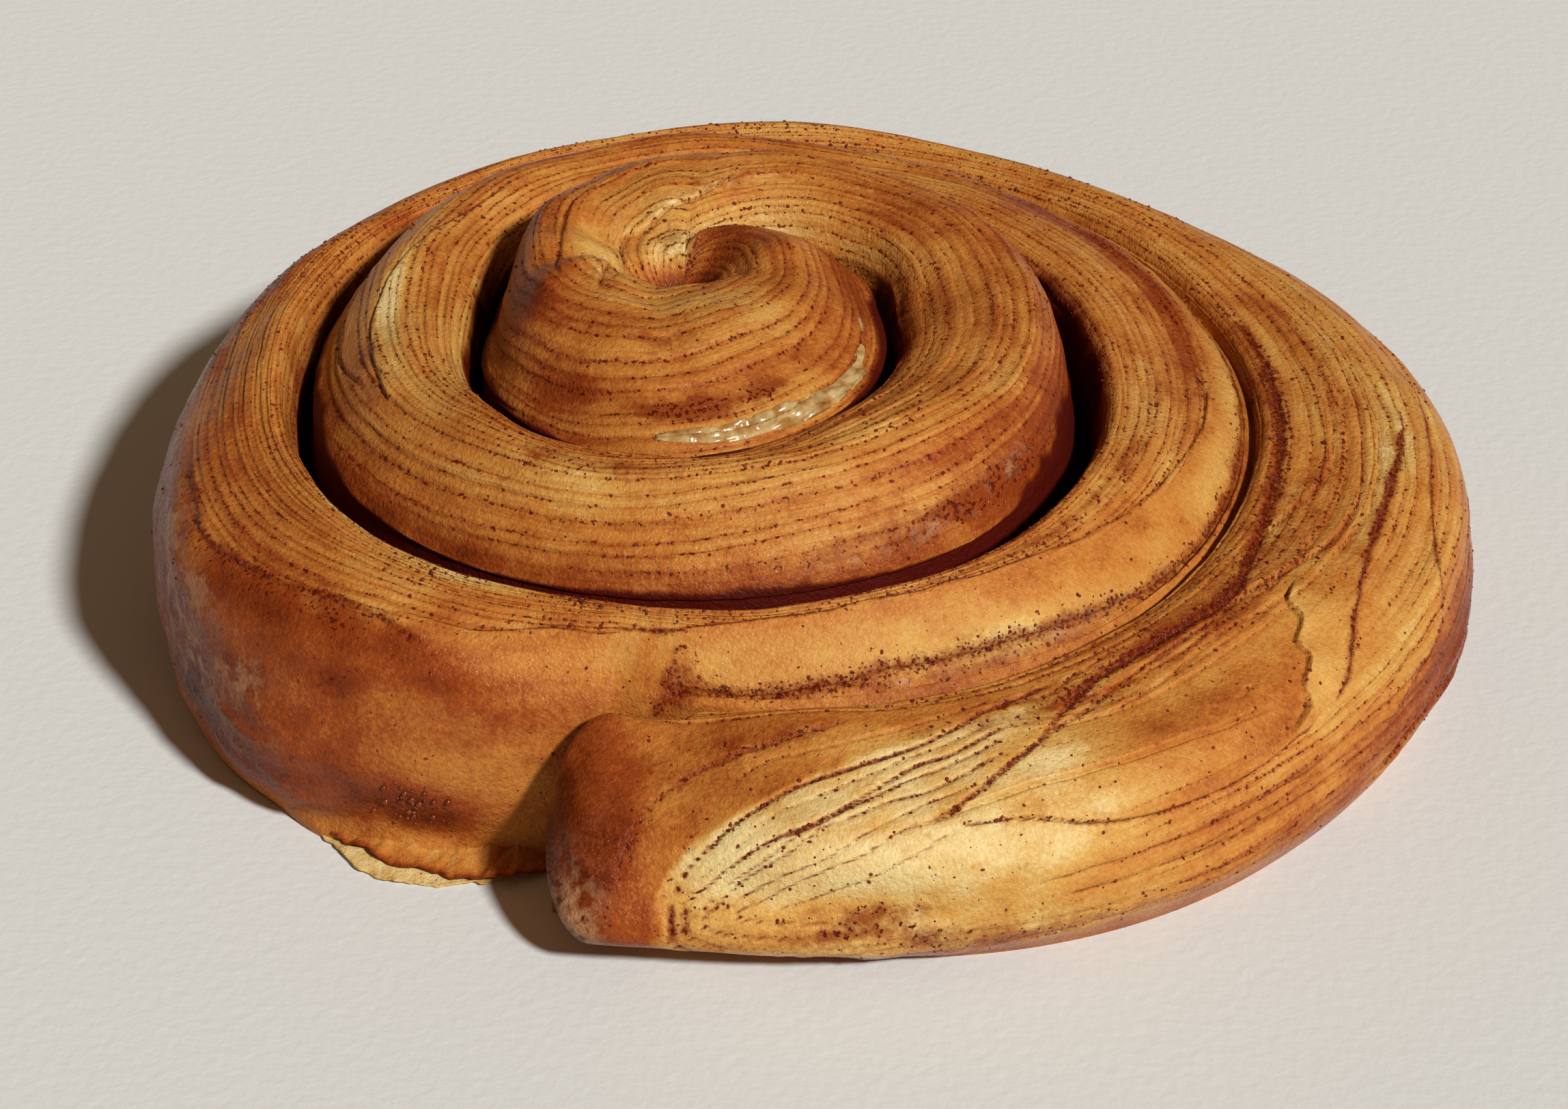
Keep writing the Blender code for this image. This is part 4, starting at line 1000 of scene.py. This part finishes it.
    # Blisters of the baked skin, 0.2 mm across, and the sheets' rough cut edges.
    height = grain
    for part, amount in ((skin, 1.6), (bubbles, -0.3), (fine, -0.5), (line, -0.5),
                         (streaks, 0.6), (veins, 0.4)):
        height = add_node(tree, "ShaderNodeMath", {0: part, 1: amount, 2: height}, operation="MULTIPLY_ADD")
    bump = add_node(tree, "ShaderNodeBump", {"Height": height, "Strength": 0.6, "Distance": 0.00017})
    coat = add_node(tree, "ShaderNodeMath", {0: wet, 1: 0.4}, operation="MULTIPLY")
    for name, value in (("Base Color", colour), ("Roughness", rough.outputs[0]),
                        ("Coat Weight", coat.outputs[0]), ("Normal", bump.outputs[0])):
        tree.links.new(value, shader.inputs[name])
    return material


def clouded_material(name, scale, detail, stops, bump, constants):
    """A material whose colour runs between stops, and whose height changes, with a noise."""
    material, tree, shader = new_material(name, constants)
    place = add_node(tree, "ShaderNodeTexCoord").outputs["Object"]
    cloud = add_node(tree, "ShaderNodeTexNoise", {"Vector": place, "Scale": scale, "Detail": detail})
    if stops:
        colour = add_node(tree, "ShaderNodeValToRGB", {0: cloud}, stops=stops)
        tree.links.new(colour.outputs[0], shader.inputs["Base Color"])
    if bump:
        height = add_node(tree, "ShaderNodeBump", {"Height": cloud, "Strength": bump, "Distance": 0.3 * MM})
        tree.links.new(height.outputs[0], shader.inputs["Normal"])
    return material


def cinnamon_material(props):
    """Ground cinnamon wetted by butter and baked: dull dark red-brown grains, of which one
    in a few is paler, as the tone changes every 1.4 mm."""
    return clouded_material("baked_ground_cinnamon", 700.0, 2.0, (
        (0.35, props.cinnamon_dark), (0.68, props.cinnamon_red)), 0.0, {"Roughness": 0.6, "IOR": 1.33})


def glaze_material(props):
    """Sugar glaze that ran down and set: pale and glossy, clouded every 1.1 mm."""
    return clouded_material("set_sugar_glaze", 900.0, 3.0, (
        (0.36, props.glaze_thin), (0.64, props.glaze)), 0.5, {
            "Roughness": 0.2, "Subsurface Weight": 0.3, "Subsurface Radius": (1.0, 0.7, 0.4),
            "Subsurface Scale": 0.001})


def caramel_material(props):
    """Butter and sugar that boiled to caramel on the tin: dark, glossy and a little uneven,
    with a tone that changes every 2 mm."""
    return clouded_material("boiled_caramel", 500.0, 4.0, (
        (0.34, props.brown), (0.66, props.soaked)), 0.4, {"Roughness": 0.2})


# ---------------------------------------------------------------- thin sheets, glaze and caramel

# The torn skirt at the foot, at the front left: outer edges in plan, in mm.
SHEET_REACH = 5.5           # from its outer edge in under the roll
SHEET_COLUMNS, SHEET_ROWS = 150, 16
PALE_SHEET = (
    (-40.5, -31.2), (-40.3, -33), (-39.3, -35), (-37.8, -37), (-36, -38.5), (-34.2, -39.4),
    (-31.9, -40.1), (-29.6, -40.3), (-27.3, -40.1), (-25.6, -39.6), (-24.2, -38.6),
)
BROWN_SHEET = (
    (-40.2, -31.6), (-38.8, -34.2), (-37.5, -35.7), (-35.2, -37.4), (-32.1, -39), (-29.6, -39.8),
    (-26.8, -40.3), (-25, -40.3), (-23.4, -39.9), (-21.6, -38.8),
)


def torn_sheet(name, edge, under, over, thick, seed, toasted):
    """A thin sheet of dough on the floor, torn along its outer edge: the height of its ends and
    of its middle, how thick it is, and how brown it is all over and at its edge."""
    edge = np.array(edge, float)
    at = np.linspace(0.0, len(edge) - 1.0, SHEET_COLUMNS)
    line = np.stack([catmull_rom(edge[:, 0], at), catmull_rom(edge[:, 1], at)], -1)
    inward = (POLE + FORM_SHIFT[:2]) - line
    inward = inward / np.linalg.norm(inward, axis=1)[:, None]
    torn = 0.35 * lumpy(at * 1.9, at * 0.0, seed) + 0.1 * lumpy(at * 5.0, at * 0.0, seed + 1)
    line = line + inward * torn[:, None]
    v = (np.arange(SHEET_ROWS) / (SHEET_ROWS - 1.0)) ** 1.5
    column, row = at[:, None], v[None, :]
    top = over + 1.5 * over * row**2 + (0.12 + 0.2 * over) * lumpy(column * 1.7, row * 3.0, seed + 2)
    top = top + 0.1 * over * lumpy(column * 5.0, row * 6.0, seed + 3)
    top = under + (top - under) * np.minimum(1.0, np.minimum(at, at[-1] - at) / 1.2)[:, None]
    low = np.maximum(top - thick * np.minimum(1.0, 0.3 + 4.0 * row), 0.0)
    plan = line[:, None, :] + inward[:, None, :] * (v * SHEET_REACH)[None, :, None]
    upper = np.concatenate([plan, np.maximum(top, 0.04)[..., None]], -1)
    lower = np.concatenate([plan, np.minimum(low, top - 0.03)[..., None]], -1)
    mesh = closed_tube(name, np.concatenate([upper, lower[:, ::-1]], 1))
    dark = toasted[0] + toasted[1] * np.exp(-row / 0.08) + 0.08 * lumpy(column * 4.0, row * 5.0, seed + 4)
    dark = np.concatenate([dark, dark[:, ::-1]], 1).ravel()
    paint(mesh, bake=np.clip(np.concatenate([dark, dark[:2]]), 0.0, 1.0))
    return mesh


# Where glaze lies at the heart's foot: theta, row, spreads and strength.
GLAZE = (
    (1350, 4.07, 6, 0.09, 0.8), (1360, 4.07, 7, 0.12, 1), (1373, 4.05, 8, 0.13, 1),
    (1386, 4.05, 7, 0.13, 1), (1397, 4.12, 6, 0.12, 1), (1407, 4.2, 5, 0.09, 0.9),
    (1418, 4.28, 5, 0.06, 0.7),
)
GLAZE_THICK, GLAZE_SEED = 0.24, 90
BEADS = 26
DROPS = 46                  # of caramel, each a ball of so many rings of points
BALL_RINGS, BALL_POINTS = 7, 12


def glaze_pool(name, props):
    """A thin pool of glaze on the crust with round beads standing in it, as a closed mesh."""
    theta, rows = np.arange(1326.0, 1428.0, 0.9), np.arange(3.72, 4.42, 0.008)
    dough = Dough(theta, rows, props)
    s, p = dough.s, dough.p
    depth = spots(theta[:, None], rows[None, :], GLAZE) - 0.45 + 0.16 * lumpy(s / 1.8, p / 1.2, GLAZE_SEED)
    lumps = np.clip(0.8 + 0.5 * lumpy(s / 1.1, p / 0.8, GLAZE_SEED + 2), 0.2, 2.0)
    lift = GLAZE_THICK * smooth_step(depth * 1.2) * lumps
    chance = np.random.default_rng(GLAZE_SEED)
    wide, far = np.nonzero(depth > 0.12)
    for k in chance.choice(len(wide), BEADS):
        radius = 0.24 + 0.56 * chance.random() ** 2
        apart = (s - s[wide[k], far[k]]) ** 2 + (p - p[wide[k], far[k]]) ** 2
        lift = np.maximum(lift, 0.9 * np.sqrt(np.maximum(radius * radius - apart, 0.0)))
    top = dough.points + dough.normals * lift[..., None]
    low = dough.points - dough.normals * 0.12

    # Each cell in the pool has a face above, one below, and walls where its neighbour is out.
    inside = depth > 0.0
    cells = np.pad(inside[1:, 1:] & inside[:-1, 1:] & inside[1:, :-1] & inside[:-1, :-1], 1)
    under, across = depth.size, depth.shape[1]
    faces = []
    for j, i in np.argwhere(cells) - 1:
        start = j * across + i
        corners = (start, start + across, start + across + 1, start + 1)
        faces.append(corners)
        faces.append(tuple(c + under for c in reversed(corners)))
        for k, (dj, di) in enumerate(((0, -1), (1, 0), (0, 1), (-1, 0))):
            if not cells[j + 1 + dj, i + 1 + di]:
                a, b = corners[k], corners[(k + 1) % 4]
                faces.append((b, a, a + under, b + under))
    used, index = np.unique(faces, return_inverse=True)
    vertices = np.concatenate([top.reshape(-1, 3), low.reshape(-1, 3)])[used]
    return solid_mesh(name, vertices, index.reshape(-1, 4).tolist())


def caramel_drops(name, props):
    """Small round drops of caramel that stand on the crust at the front left, as closed balls."""
    theta, rows = np.arange(596.0, 614.0, 0.25), np.arange(0.3, 2.4, 0.05)
    dough = Dough(theta, rows, props)
    chance = np.random.default_rng(95)
    column = np.interp(chance.normal(604.4, 1.5, DROPS), theta, np.arange(len(theta)))
    row = np.interp(chance.normal(1.25, 0.24, DROPS), rows, np.arange(len(rows)))
    centres, outward = on_crust(dough, column, row)
    size = 0.08 + 0.24 * chance.random(DROPS) ** 2
    centres = centres + outward * (0.1 * size)[:, None]
    down = np.pi * np.arange(1, BALL_RINGS + 1) / (BALL_RINGS + 1)
    turn = 2.0 * np.pi * np.arange(BALL_POINTS) / BALL_POINTS
    ball = np.stack([np.outer(np.sin(down), np.cos(turn)), np.outer(np.sin(down), np.sin(turn)),
                     np.outer(np.cos(down), np.ones(BALL_POINTS))], -1).reshape(-1, 3)
    ball = np.concatenate([ball, [(0.0, 0.0, 1.0), (0.0, 0.0, -1.0)]])
    vertices = (centres[:, None, :] + ball * size[:, None, None]).reshape(-1, 3)
    faces = [[c + len(ball) * drop for c in face]
             for drop in range(DROPS) for face in tube_faces(BALL_RINGS, BALL_POINTS)]
    return solid_mesh(name, vertices, faces)


# ---------------------------------------------------------------- scattered grains

LOWEST_SPECK = 0.6          # no grain of cinnamon lies nearer to the floor


def grain_tree(name):
    """Nodes that set a small lumpy grain on every point, turned to the crust and sized by chance."""
    tree = bpy.data.node_groups.new(name, "GeometryNodeTree")
    for label, kind in (("Geometry", "Geometry"), ("Smallest", "Float"), ("Largest", "Float"),
                        ("Flatness", "Float"), ("Seed", "Int"), ("Material", "Material")):
        tree.interface.new_socket(label, in_out="INPUT", socket_type="NodeSocket" + kind)
    tree.interface.new_socket("Geometry", in_out="OUTPUT", socket_type="NodeSocketGeometry")
    given = add_node(tree, "NodeGroupInput").outputs
    ball = add_node(tree, "GeometryNodeMeshIcoSphere", {"Radius": 1.0, "Subdivisions": 1})
    out = add_node(tree, "GeometryNodeInputNamedAttribute", {"Name": "out"}, data_type="FLOAT_VECTOR")
    upright = add_node(tree, "FunctionNodeAlignRotationToVector", {"Vector": out}, axis="Z")
    spin = add_node(tree, "FunctionNodeRandomValue", {
        0: (-0.5, -0.5, 0.0), 1: (0.5, 0.5, 6.28), "Seed": given["Seed"]}, data_type="FLOAT_VECTOR")
    turned = add_node(tree, "FunctionNodeRotateRotation", {0: upright, 1: spin}, rotation_space="LOCAL")
    chance = add_node(tree, "FunctionNodeRandomValue", {2: 0.0, 3: 1.0, "Seed": given["Seed"]},
                      data_type="FLOAT").outputs[1]
    chance = add_node(tree, "ShaderNodeMath", {0: chance, 1: 3.0}, operation="POWER")
    size = add_node(tree, "ShaderNodeMapRange", {0: chance, 3: given["Smallest"], 4: given["Largest"]})
    squeeze = add_node(tree, "FunctionNodeRandomValue", {
        0: (0.8, 0.7, 0.7), 1: (1.6, 1.1, 1.1), "Seed": given["Seed"]}, data_type="FLOAT_VECTOR")
    flat = add_node(tree, "ShaderNodeCombineXYZ", {0: 1.0, 1: 1.0, 2: given["Flatness"]})
    squeeze = add_node(tree, "ShaderNodeVectorMath", {0: squeeze, 1: flat}, operation="MULTIPLY")
    scale = add_node(tree, "ShaderNodeVectorMath", {0: squeeze, "Scale": size}, operation="SCALE")
    placed = add_node(tree, "GeometryNodeInstanceOnPoints", {
        "Points": given["Geometry"], "Instance": ball, "Rotation": turned, "Scale": scale})
    real = add_node(tree, "GeometryNodeRealizeInstances", {0: placed})
    finished = add_node(tree, "GeometryNodeSetMaterial", {0: real, "Material": given["Material"]})
    add_node(tree, "NodeGroupOutput", {0: finished})
    return tree


def set_grains(name, places, outward, inputs):
    """Grains at places on the crust, in mm, as one plain mesh."""
    points = bpy.data.meshes.new(name + "_places")
    points.from_pydata((places * MM).tolist(), [], [])
    paint(points, out=outward)
    holder = bpy.data.objects.new(name + "_places", points)
    bpy.context.scene.collection.objects.link(holder)
    modifier = holder.modifiers.new("grains", "NODES")
    modifier.node_group = grain_tree(name + "_nodes")
    for item in modifier.node_group.interface.items_tree:
        if item.item_type == "SOCKET" and item.in_out == "INPUT" and item.name in inputs:
            modifier[item.identifier] = inputs[item.name]
    graph = bpy.context.evaluated_depsgraph_get()
    mesh = bpy.data.meshes.new_from_object(holder.evaluated_get(graph))
    bpy.data.objects.remove(holder, do_unlink=True)
    if "out" in mesh.attributes:
        mesh.attributes.remove(mesh.attributes["out"])
    return mesh


def on_crust(dough, column, row):
    """Points and normals of the crust at fractional columns and rows of its grid."""
    j = np.clip(np.floor(column).astype(int), 0, len(dough.theta) - 2)
    i = np.clip(np.floor(row).astype(int), 0, len(dough.rows) - 2)
    u, v = (column - j)[:, None], (row - i)[:, None]
    mixed = []
    for grid in (dough.points, dough.normals):
        near = grid[j, i] * (1 - u) + grid[j + 1, i] * u
        far = grid[j, i + 1] * (1 - u) + grid[j + 1, i + 1] * u
        mixed.append(near * (1 - v) + far * v)
    return mixed


def speckle(dough, keep, props, chance):
    """Where grains of cinnamon lie: strung along the cut layers, in the seams and in clumps."""
    span = slice(keep[0], keep[1] - 1)
    count, shown, filling = dough.count[span], dough.shown[span], dough.filling[span]
    s, p, stain, gap = dough.s[span], dough.p[span], dough.maps[1][span], dough.maps[4][span]
    rows = dough.rows[None, :]
    length = np.gradient(dough.s[:, 0])[span][:, None]
    width = np.gradient(p, axis=1)
    calm = smooth_step((6.75 - rows) / 0.2) * smooth_step((rows - 0.4) / 0.3) * (1.0 - gap)
    patchy = 0.55 + 0.9 * lumpy(s / 7.0, p / 3.5, 51) + 0.35 * lumpy(s / 1.6, p / 1.2, 52)
    patchy = np.clip(patchy, 0.04, 1.6)

    # Along the edge of each cut sheet.
    whole = np.floor(count)
    j, i = np.nonzero(whole[:, 1:] != whole[:, :-1])
    rise = count[j, i + 1] - count[j, i]
    sheet = np.maximum(whole[j, i], whole[j, i + 1])
    crossing = i + np.clip((sheet - count[j, i]) / np.where(np.abs(rise) < 1e-9, 1.0, rise), 0.0, 1.0)
    weight = (shown * patchy * calm * length)[j, i] * props.strung_specks
    weight = weight * np.clip(0.6 + 0.8 * scattered(sheet, sheet * 0.0, 53), 0.1, 1.4)
    number = chance.poisson(weight)
    found = [(np.repeat(j, number), np.repeat(crossing, number), 0.09)]

    # Loose on the crust, and thick in the filling and the stains.
    thick = props.filling_specks * patchy * (filling + np.clip(stain - 0.5, 0.0, 0.5))
    number = chance.poisson(length * width * calm * (props.loose_specks * (0.3 + patchy) + thick))
    j, i = np.nonzero(number)
    number = number[j, i]
    found.append((np.repeat(j, number), np.repeat(i, number) + chance.random(number.sum()), 0.0))

    places, outward = [], []
    for j, i, spread in found:
        step = width[j, np.minimum(i.astype(int), width.shape[1] - 1)]
        across = i + chance.normal(0.0, 1.0, len(i)) * spread / np.maximum(step, 0.05)
        point, normal = on_crust(dough, keep[0] + j + chance.random(len(j)), across)
        places.append(point)
        outward.append(normal)
    places, outward = np.concatenate(places), np.concatenate(outward)
    clear = places[:, 2] > LOWEST_SPECK
    return places[clear], outward[clear]


# ---------------------------------------------------------------- settings, pieces and stage


def colour_setting(name, of, code):
    """A colour that a user can change, with its default as sRGB hex."""
    return bpy.props.FloatVectorProperty(name=name, description="Colour of " + of, default=linear(code),
                                         size=4, min=0.0, max=1.0, subtype="COLOR")


class BAKERY_PG_crust(bpy.types.PropertyGroup):
    """The relief and the colours of the roll."""

    layer_relief: bpy.props.FloatProperty(
        name="Layer relief", description="How strongly the cut layers stand up",
        default=1.0, min=0.0, max=3.0, subtype="FACTOR")
    pale: colour_setting("Pale dough", "dough the heat hardly reached", "#DEC88E")
    straw: colour_setting("Straw", "lightly baked dough", "#CB9B50")
    gold: colour_setting("Gold", "baked crust", "#BA7532")
    amber: colour_setting("Amber", "well baked crust", "#92441A")
    brown: colour_setting("Brown", "dark crust", "#5E2208")
    burnt: colour_setting("Burnt", "the darkest edges", "#2A0802")
    line: colour_setting("Sheet edge", "the fine line between two sheets", "#8A3C12")
    soaked: colour_setting("Soaked dough", "crust soaked with cinnamon butter", "#7E320F")
    cinnamon_red: colour_setting("Cinnamon", "the paler cinnamon", "#7C2E12")
    cinnamon_dark: colour_setting("Dark cinnamon", "thick cinnamon", "#581605")
    # The groove colour is painted in the grooves' depths: syrup colour and painted shade.
    gap: colour_setting("Groove", "the syrupy depths between the coils", "#4A0E05")
    glaze: colour_setting("Glaze", "the set sugar glaze", "#C2A470")
    glaze_thin: colour_setting("Thin glaze", "the glaze where the crust shows through", "#9A6A2E")
    frost: colour_setting("Frost", "dried icing sugar", "#D2A274")


class BAKERY_PG_grains(bpy.types.PropertyGroup):
    """How much cinnamon is on the roll, and how coarse it is."""

    strung_specks: bpy.props.FloatProperty(
        name="Specks on the layers", description="Grains to each mm of a cut layer's edge",
        default=2.8, min=0.0)
    filling_specks: bpy.props.FloatProperty(
        name="Specks in the filling", description="Grains to each square mm of filling",
        default=13.0, min=0.0)
    loose_specks: bpy.props.FloatProperty(
        name="Loose specks", description="Grains to each square mm elsewhere",
        default=0.12, min=0.0)
    speck_smallest: bpy.props.FloatProperty(
        name="Smallest speck", description="Radius of the smallest grain",
        default=0.05 * MM, min=0.0, unit="LENGTH", subtype="DISTANCE", precision=6)
    speck_largest: bpy.props.FloatProperty(
        name="Largest speck", description="Radius of the largest grain",
        default=0.19 * MM, min=0.0, unit="LENGTH", subtype="DISTANCE", precision=6)


class BAKERY_PG_stage(bpy.types.PropertyGroup):
    """The camera, the lights and the floor."""

    lens: bpy.props.FloatProperty(
        name="Lens", description="Focal length of the camera", default=100.0, unit="CAMERA")
    distance: bpy.props.FloatProperty(
        name="Distance", description="From the camera to the roll", default=0.365,
        unit="LENGTH", subtype="DISTANCE")
    elevation: bpy.props.FloatProperty(
        name="Elevation", description="The camera's height above the horizon",
        default=math.radians(34.0), unit="ROTATION", subtype="ANGLE")
    sun: bpy.props.FloatProperty(
        name="Key light", description="Strength of the key light", default=3.85, min=0.0)
    sky: bpy.props.FloatProperty(
        name="Fill light", description="Strength of the light from all round", default=0.13, min=0.0)
    floor: colour_setting("Floor", "the floor", "#D9DCDB")


COILS = (("coil_outer", OUTER_COLUMNS), ("coil_middle", MIDDLE_COLUMNS), ("coil_heart", HEART_COLUMNS))
_made = {}                  # the coils' grids, which the cinnamon takes from the dough


def dough_of(name, spans, props):
    """The grid of one coil, and which of its columns the coil keeps: it has a column more at
    each end that meets another coil, and the rounded end's columns at the strip's start."""
    if name not in _made:
        theta = column_places(spans)
        if theta[0] > TAIL:
            first, lead = 1, [theta[0] - OVERLAP]
        else:
            first, lead = 0, TAIL - NOSE_LEAD * np.arange(NOSE_RINGS, 0, -1) / NOSE_RINGS
        keep = first, len(lead) + len(theta)
        trail = [theta[-1] + OVERLAP] if theta[-1] < TIP else []
        _made[name] = Dough(np.concatenate([lead, theta, trail]), row_places(), props), keep
    return _made[name]


class BAKERY_OT_coils(bpy.types.Operator):
    """Build the three coils of dough with their layers, seams and crust"""

    bl_idname = "bakery.coils"
    bl_label = "Coils of dough"

    def execute(self, context):
        props = context.scene.bakery_crust
        crust = crust_material(props)
        _made.clear()
        for name, spans in COILS:
            piece = link_piece(name, coil_mesh(name, *dough_of(name, spans, props)), crust)
            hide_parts(NODE)
        return {"FINISHED"}


class BAKERY_OT_skirt(bpy.types.Operator):
    """Lay the two thin torn sheets of dough at the foot, at the front left"""

    bl_idname = "bakery.skirt"
    bl_label = "Torn skirt"

    def execute(self, context):
        crust = bpy.data.materials["egg_washed_laminated_dough_baked"]
        for name, *sizes in (("skirt_pale", PALE_SHEET, 0.05, 0.42, 0.5, 70, (0.0, 0.1)),
                             ("skirt_brown", BROWN_SHEET, 0.5, 1.0, 0.42, 80, (0.32, 0.34))):
            link_piece(name, torn_sheet(name, *sizes), crust)
        return {"FINISHED"}


class BAKERY_OT_syrup(bpy.types.Operator):
    """Pour the sugar glaze at the heart's foot and set the drops of caramel at the front left"""

    bl_idname = "bakery.syrup"
    bl_label = "Glaze and caramel"

    def execute(self, context):
        props = context.scene.bakery_crust
        link_piece("glaze", glaze_pool("glaze", props), glaze_material(props))
        link_piece("caramel", caramel_drops("caramel", props), caramel_material(props))
        return {"FINISHED"}


class BAKERY_OT_cinnamon(bpy.types.Operator):
    """Scatter grains of baked cinnamon along the layers and in the seams"""

    bl_idname = "bakery.cinnamon"
    bl_label = "Cinnamon"

    def execute(self, context):
        crust, props = context.scene.bakery_crust, context.scene.bakery_grains
        material = cinnamon_material(crust)
        for number, (name, spans) in enumerate(COILS):
            dough, keep = dough_of(name, spans, crust)
            places, outward = speckle(dough, keep, props, np.random.default_rng(40 + number))
            piece = name.replace("coil", "cinnamon")
            mesh = set_grains(piece, places, outward, {
                "Smallest": props.speck_smallest, "Largest": props.speck_largest, "Flatness": 0.8,
                "Seed": 11 + number, "Material": material})
            link_piece(piece, mesh, material)
        return {"FINISHED"}


# The stage: half the floor's side in metres, what the camera looks at in mm, the photo's width and
# how far its middle lies from that point in pixels, and where the key light comes from.
FLOOR = 3.0
AIM = np.array([-1.0, -6.0, 12.0])
SENSOR = 36.0
PHOTO_WIDTH = 2296.0
FRAME_SHIFT = (-47.0 / PHOTO_WIDTH, -22.0 / PHOTO_WIDTH)
KEY_FROM = (0.465, -0.595, 0.656)
WARM_WHITE = (1.0, 0.98, 0.94)


class BAKERY_OT_stage(bpy.types.Operator):
    """Set up the pale floor, the soft light and the camera"""

    bl_idname = "bakery.stage"
    bl_label = "Floor, light and camera"

    def execute(self, context):
        props, scene = context.scene.bakery_stage, context.scene
        mesh = bpy.data.meshes.new("floor")
        corners = [(-FLOOR, -FLOOR, 0.0), (FLOOR, -FLOOR, 0.0), (FLOOR, FLOOR, 0.0), (-FLOOR, FLOOR, 0.0)]
        mesh.from_pydata(corners, [], [(0, 1, 2, 3)])
        # Matt plaster, with a fine tooth about 1 mm apart.
        mesh.materials.append(clouded_material(
            "matt_plaster", 900.0, 4.0, (), 0.25, {"Base Color": props.floor, "Roughness": 0.85}))
        floor = bpy.data.objects.new("floor", mesh)
        scene.collection.objects.link(floor)

        back = Vector((0.0, -math.cos(props.elevation), math.sin(props.elevation)))
        lens = bpy.data.cameras.new("camera")
        lens.lens, lens.sensor_width = props.lens, SENSOR
        lens.shift_x, lens.shift_y = FRAME_SHIFT
        camera = bpy.data.objects.new("camera", lens)
        camera.location = Vector((FORM_SHIFT + AIM) * MM) + back * props.distance
        camera.rotation_euler = (-back).to_track_quat("-Z", "Y").to_euler()
        scene.collection.objects.link(camera)
        scene.camera = camera

        light = bpy.data.lights.new("key", "SUN")
        light.energy, light.angle, light.color = props.sun, math.radians(6.0), WARM_WHITE
        key = bpy.data.objects.new("key", light)
        key.rotation_euler = Vector(KEY_FROM).to_track_quat("Z", "Y").to_euler()
        scene.collection.objects.link(key)
        world = bpy.data.worlds.new("studio")
        world.use_nodes = True
        sky = world.node_tree.nodes["Background"]
        sky.inputs["Color"].default_value = (1.0, 0.62, 0.34, 1.0)
        sky.inputs["Strength"].default_value = props.sky
        scene.world = world
        scene.view_settings.view_transform = "Standard"
        return {"FINISHED"}


class BAKERY_PT_panel(bpy.types.Panel):
    """Lists the pieces of the roll"""

    bl_label = "Cinnamon roll"
    bl_idname = "BAKERY_PT_panel"
    bl_space_type = "VIEW_3D"
    bl_region_type = "UI"
    bl_category = "Bakery"

    def draw(self, context):
        for operator in OPERATORS:
            self.layout.operator(operator.bl_idname)
        for group in (context.scene.bakery_crust, context.scene.bakery_grains, context.scene.bakery_stage):
            box = self.layout.box()
            for name in group.bl_rna.properties.keys():
                if name not in ("rna_type", "name"):
                    box.prop(group, name)


GROUPS = (
    ("bakery_crust", BAKERY_PG_crust),
    ("bakery_grains", BAKERY_PG_grains),
    ("bakery_stage", BAKERY_PG_stage),
)
OPERATORS = (BAKERY_OT_coils, BAKERY_OT_skirt, BAKERY_OT_syrup, BAKERY_OT_cinnamon, BAKERY_OT_stage)


def register():
    for name, group in GROUPS:
        bpy.utils.register_class(group)
        setattr(bpy.types.Scene, name, bpy.props.PointerProperty(type=group))
    for operator in (*OPERATORS, BAKERY_PT_panel):
        bpy.utils.register_class(operator)


def unregister():
    for operator in reversed((*OPERATORS, BAKERY_PT_panel)):
        bpy.utils.unregister_class(operator)
    for name, group in reversed(GROUPS):
        delattr(bpy.types.Scene, name)
        bpy.utils.unregister_class(group)


def main():
    """Builds the roll and its stage."""
    register()
    bpy.ops.bakery.coils()
    bpy.ops.bakery.skirt()
    bpy.ops.bakery.syrup()
    bpy.ops.bakery.cinnamon()
    bpy.ops.bakery.stage()


if __name__ == "__main__":
    main()
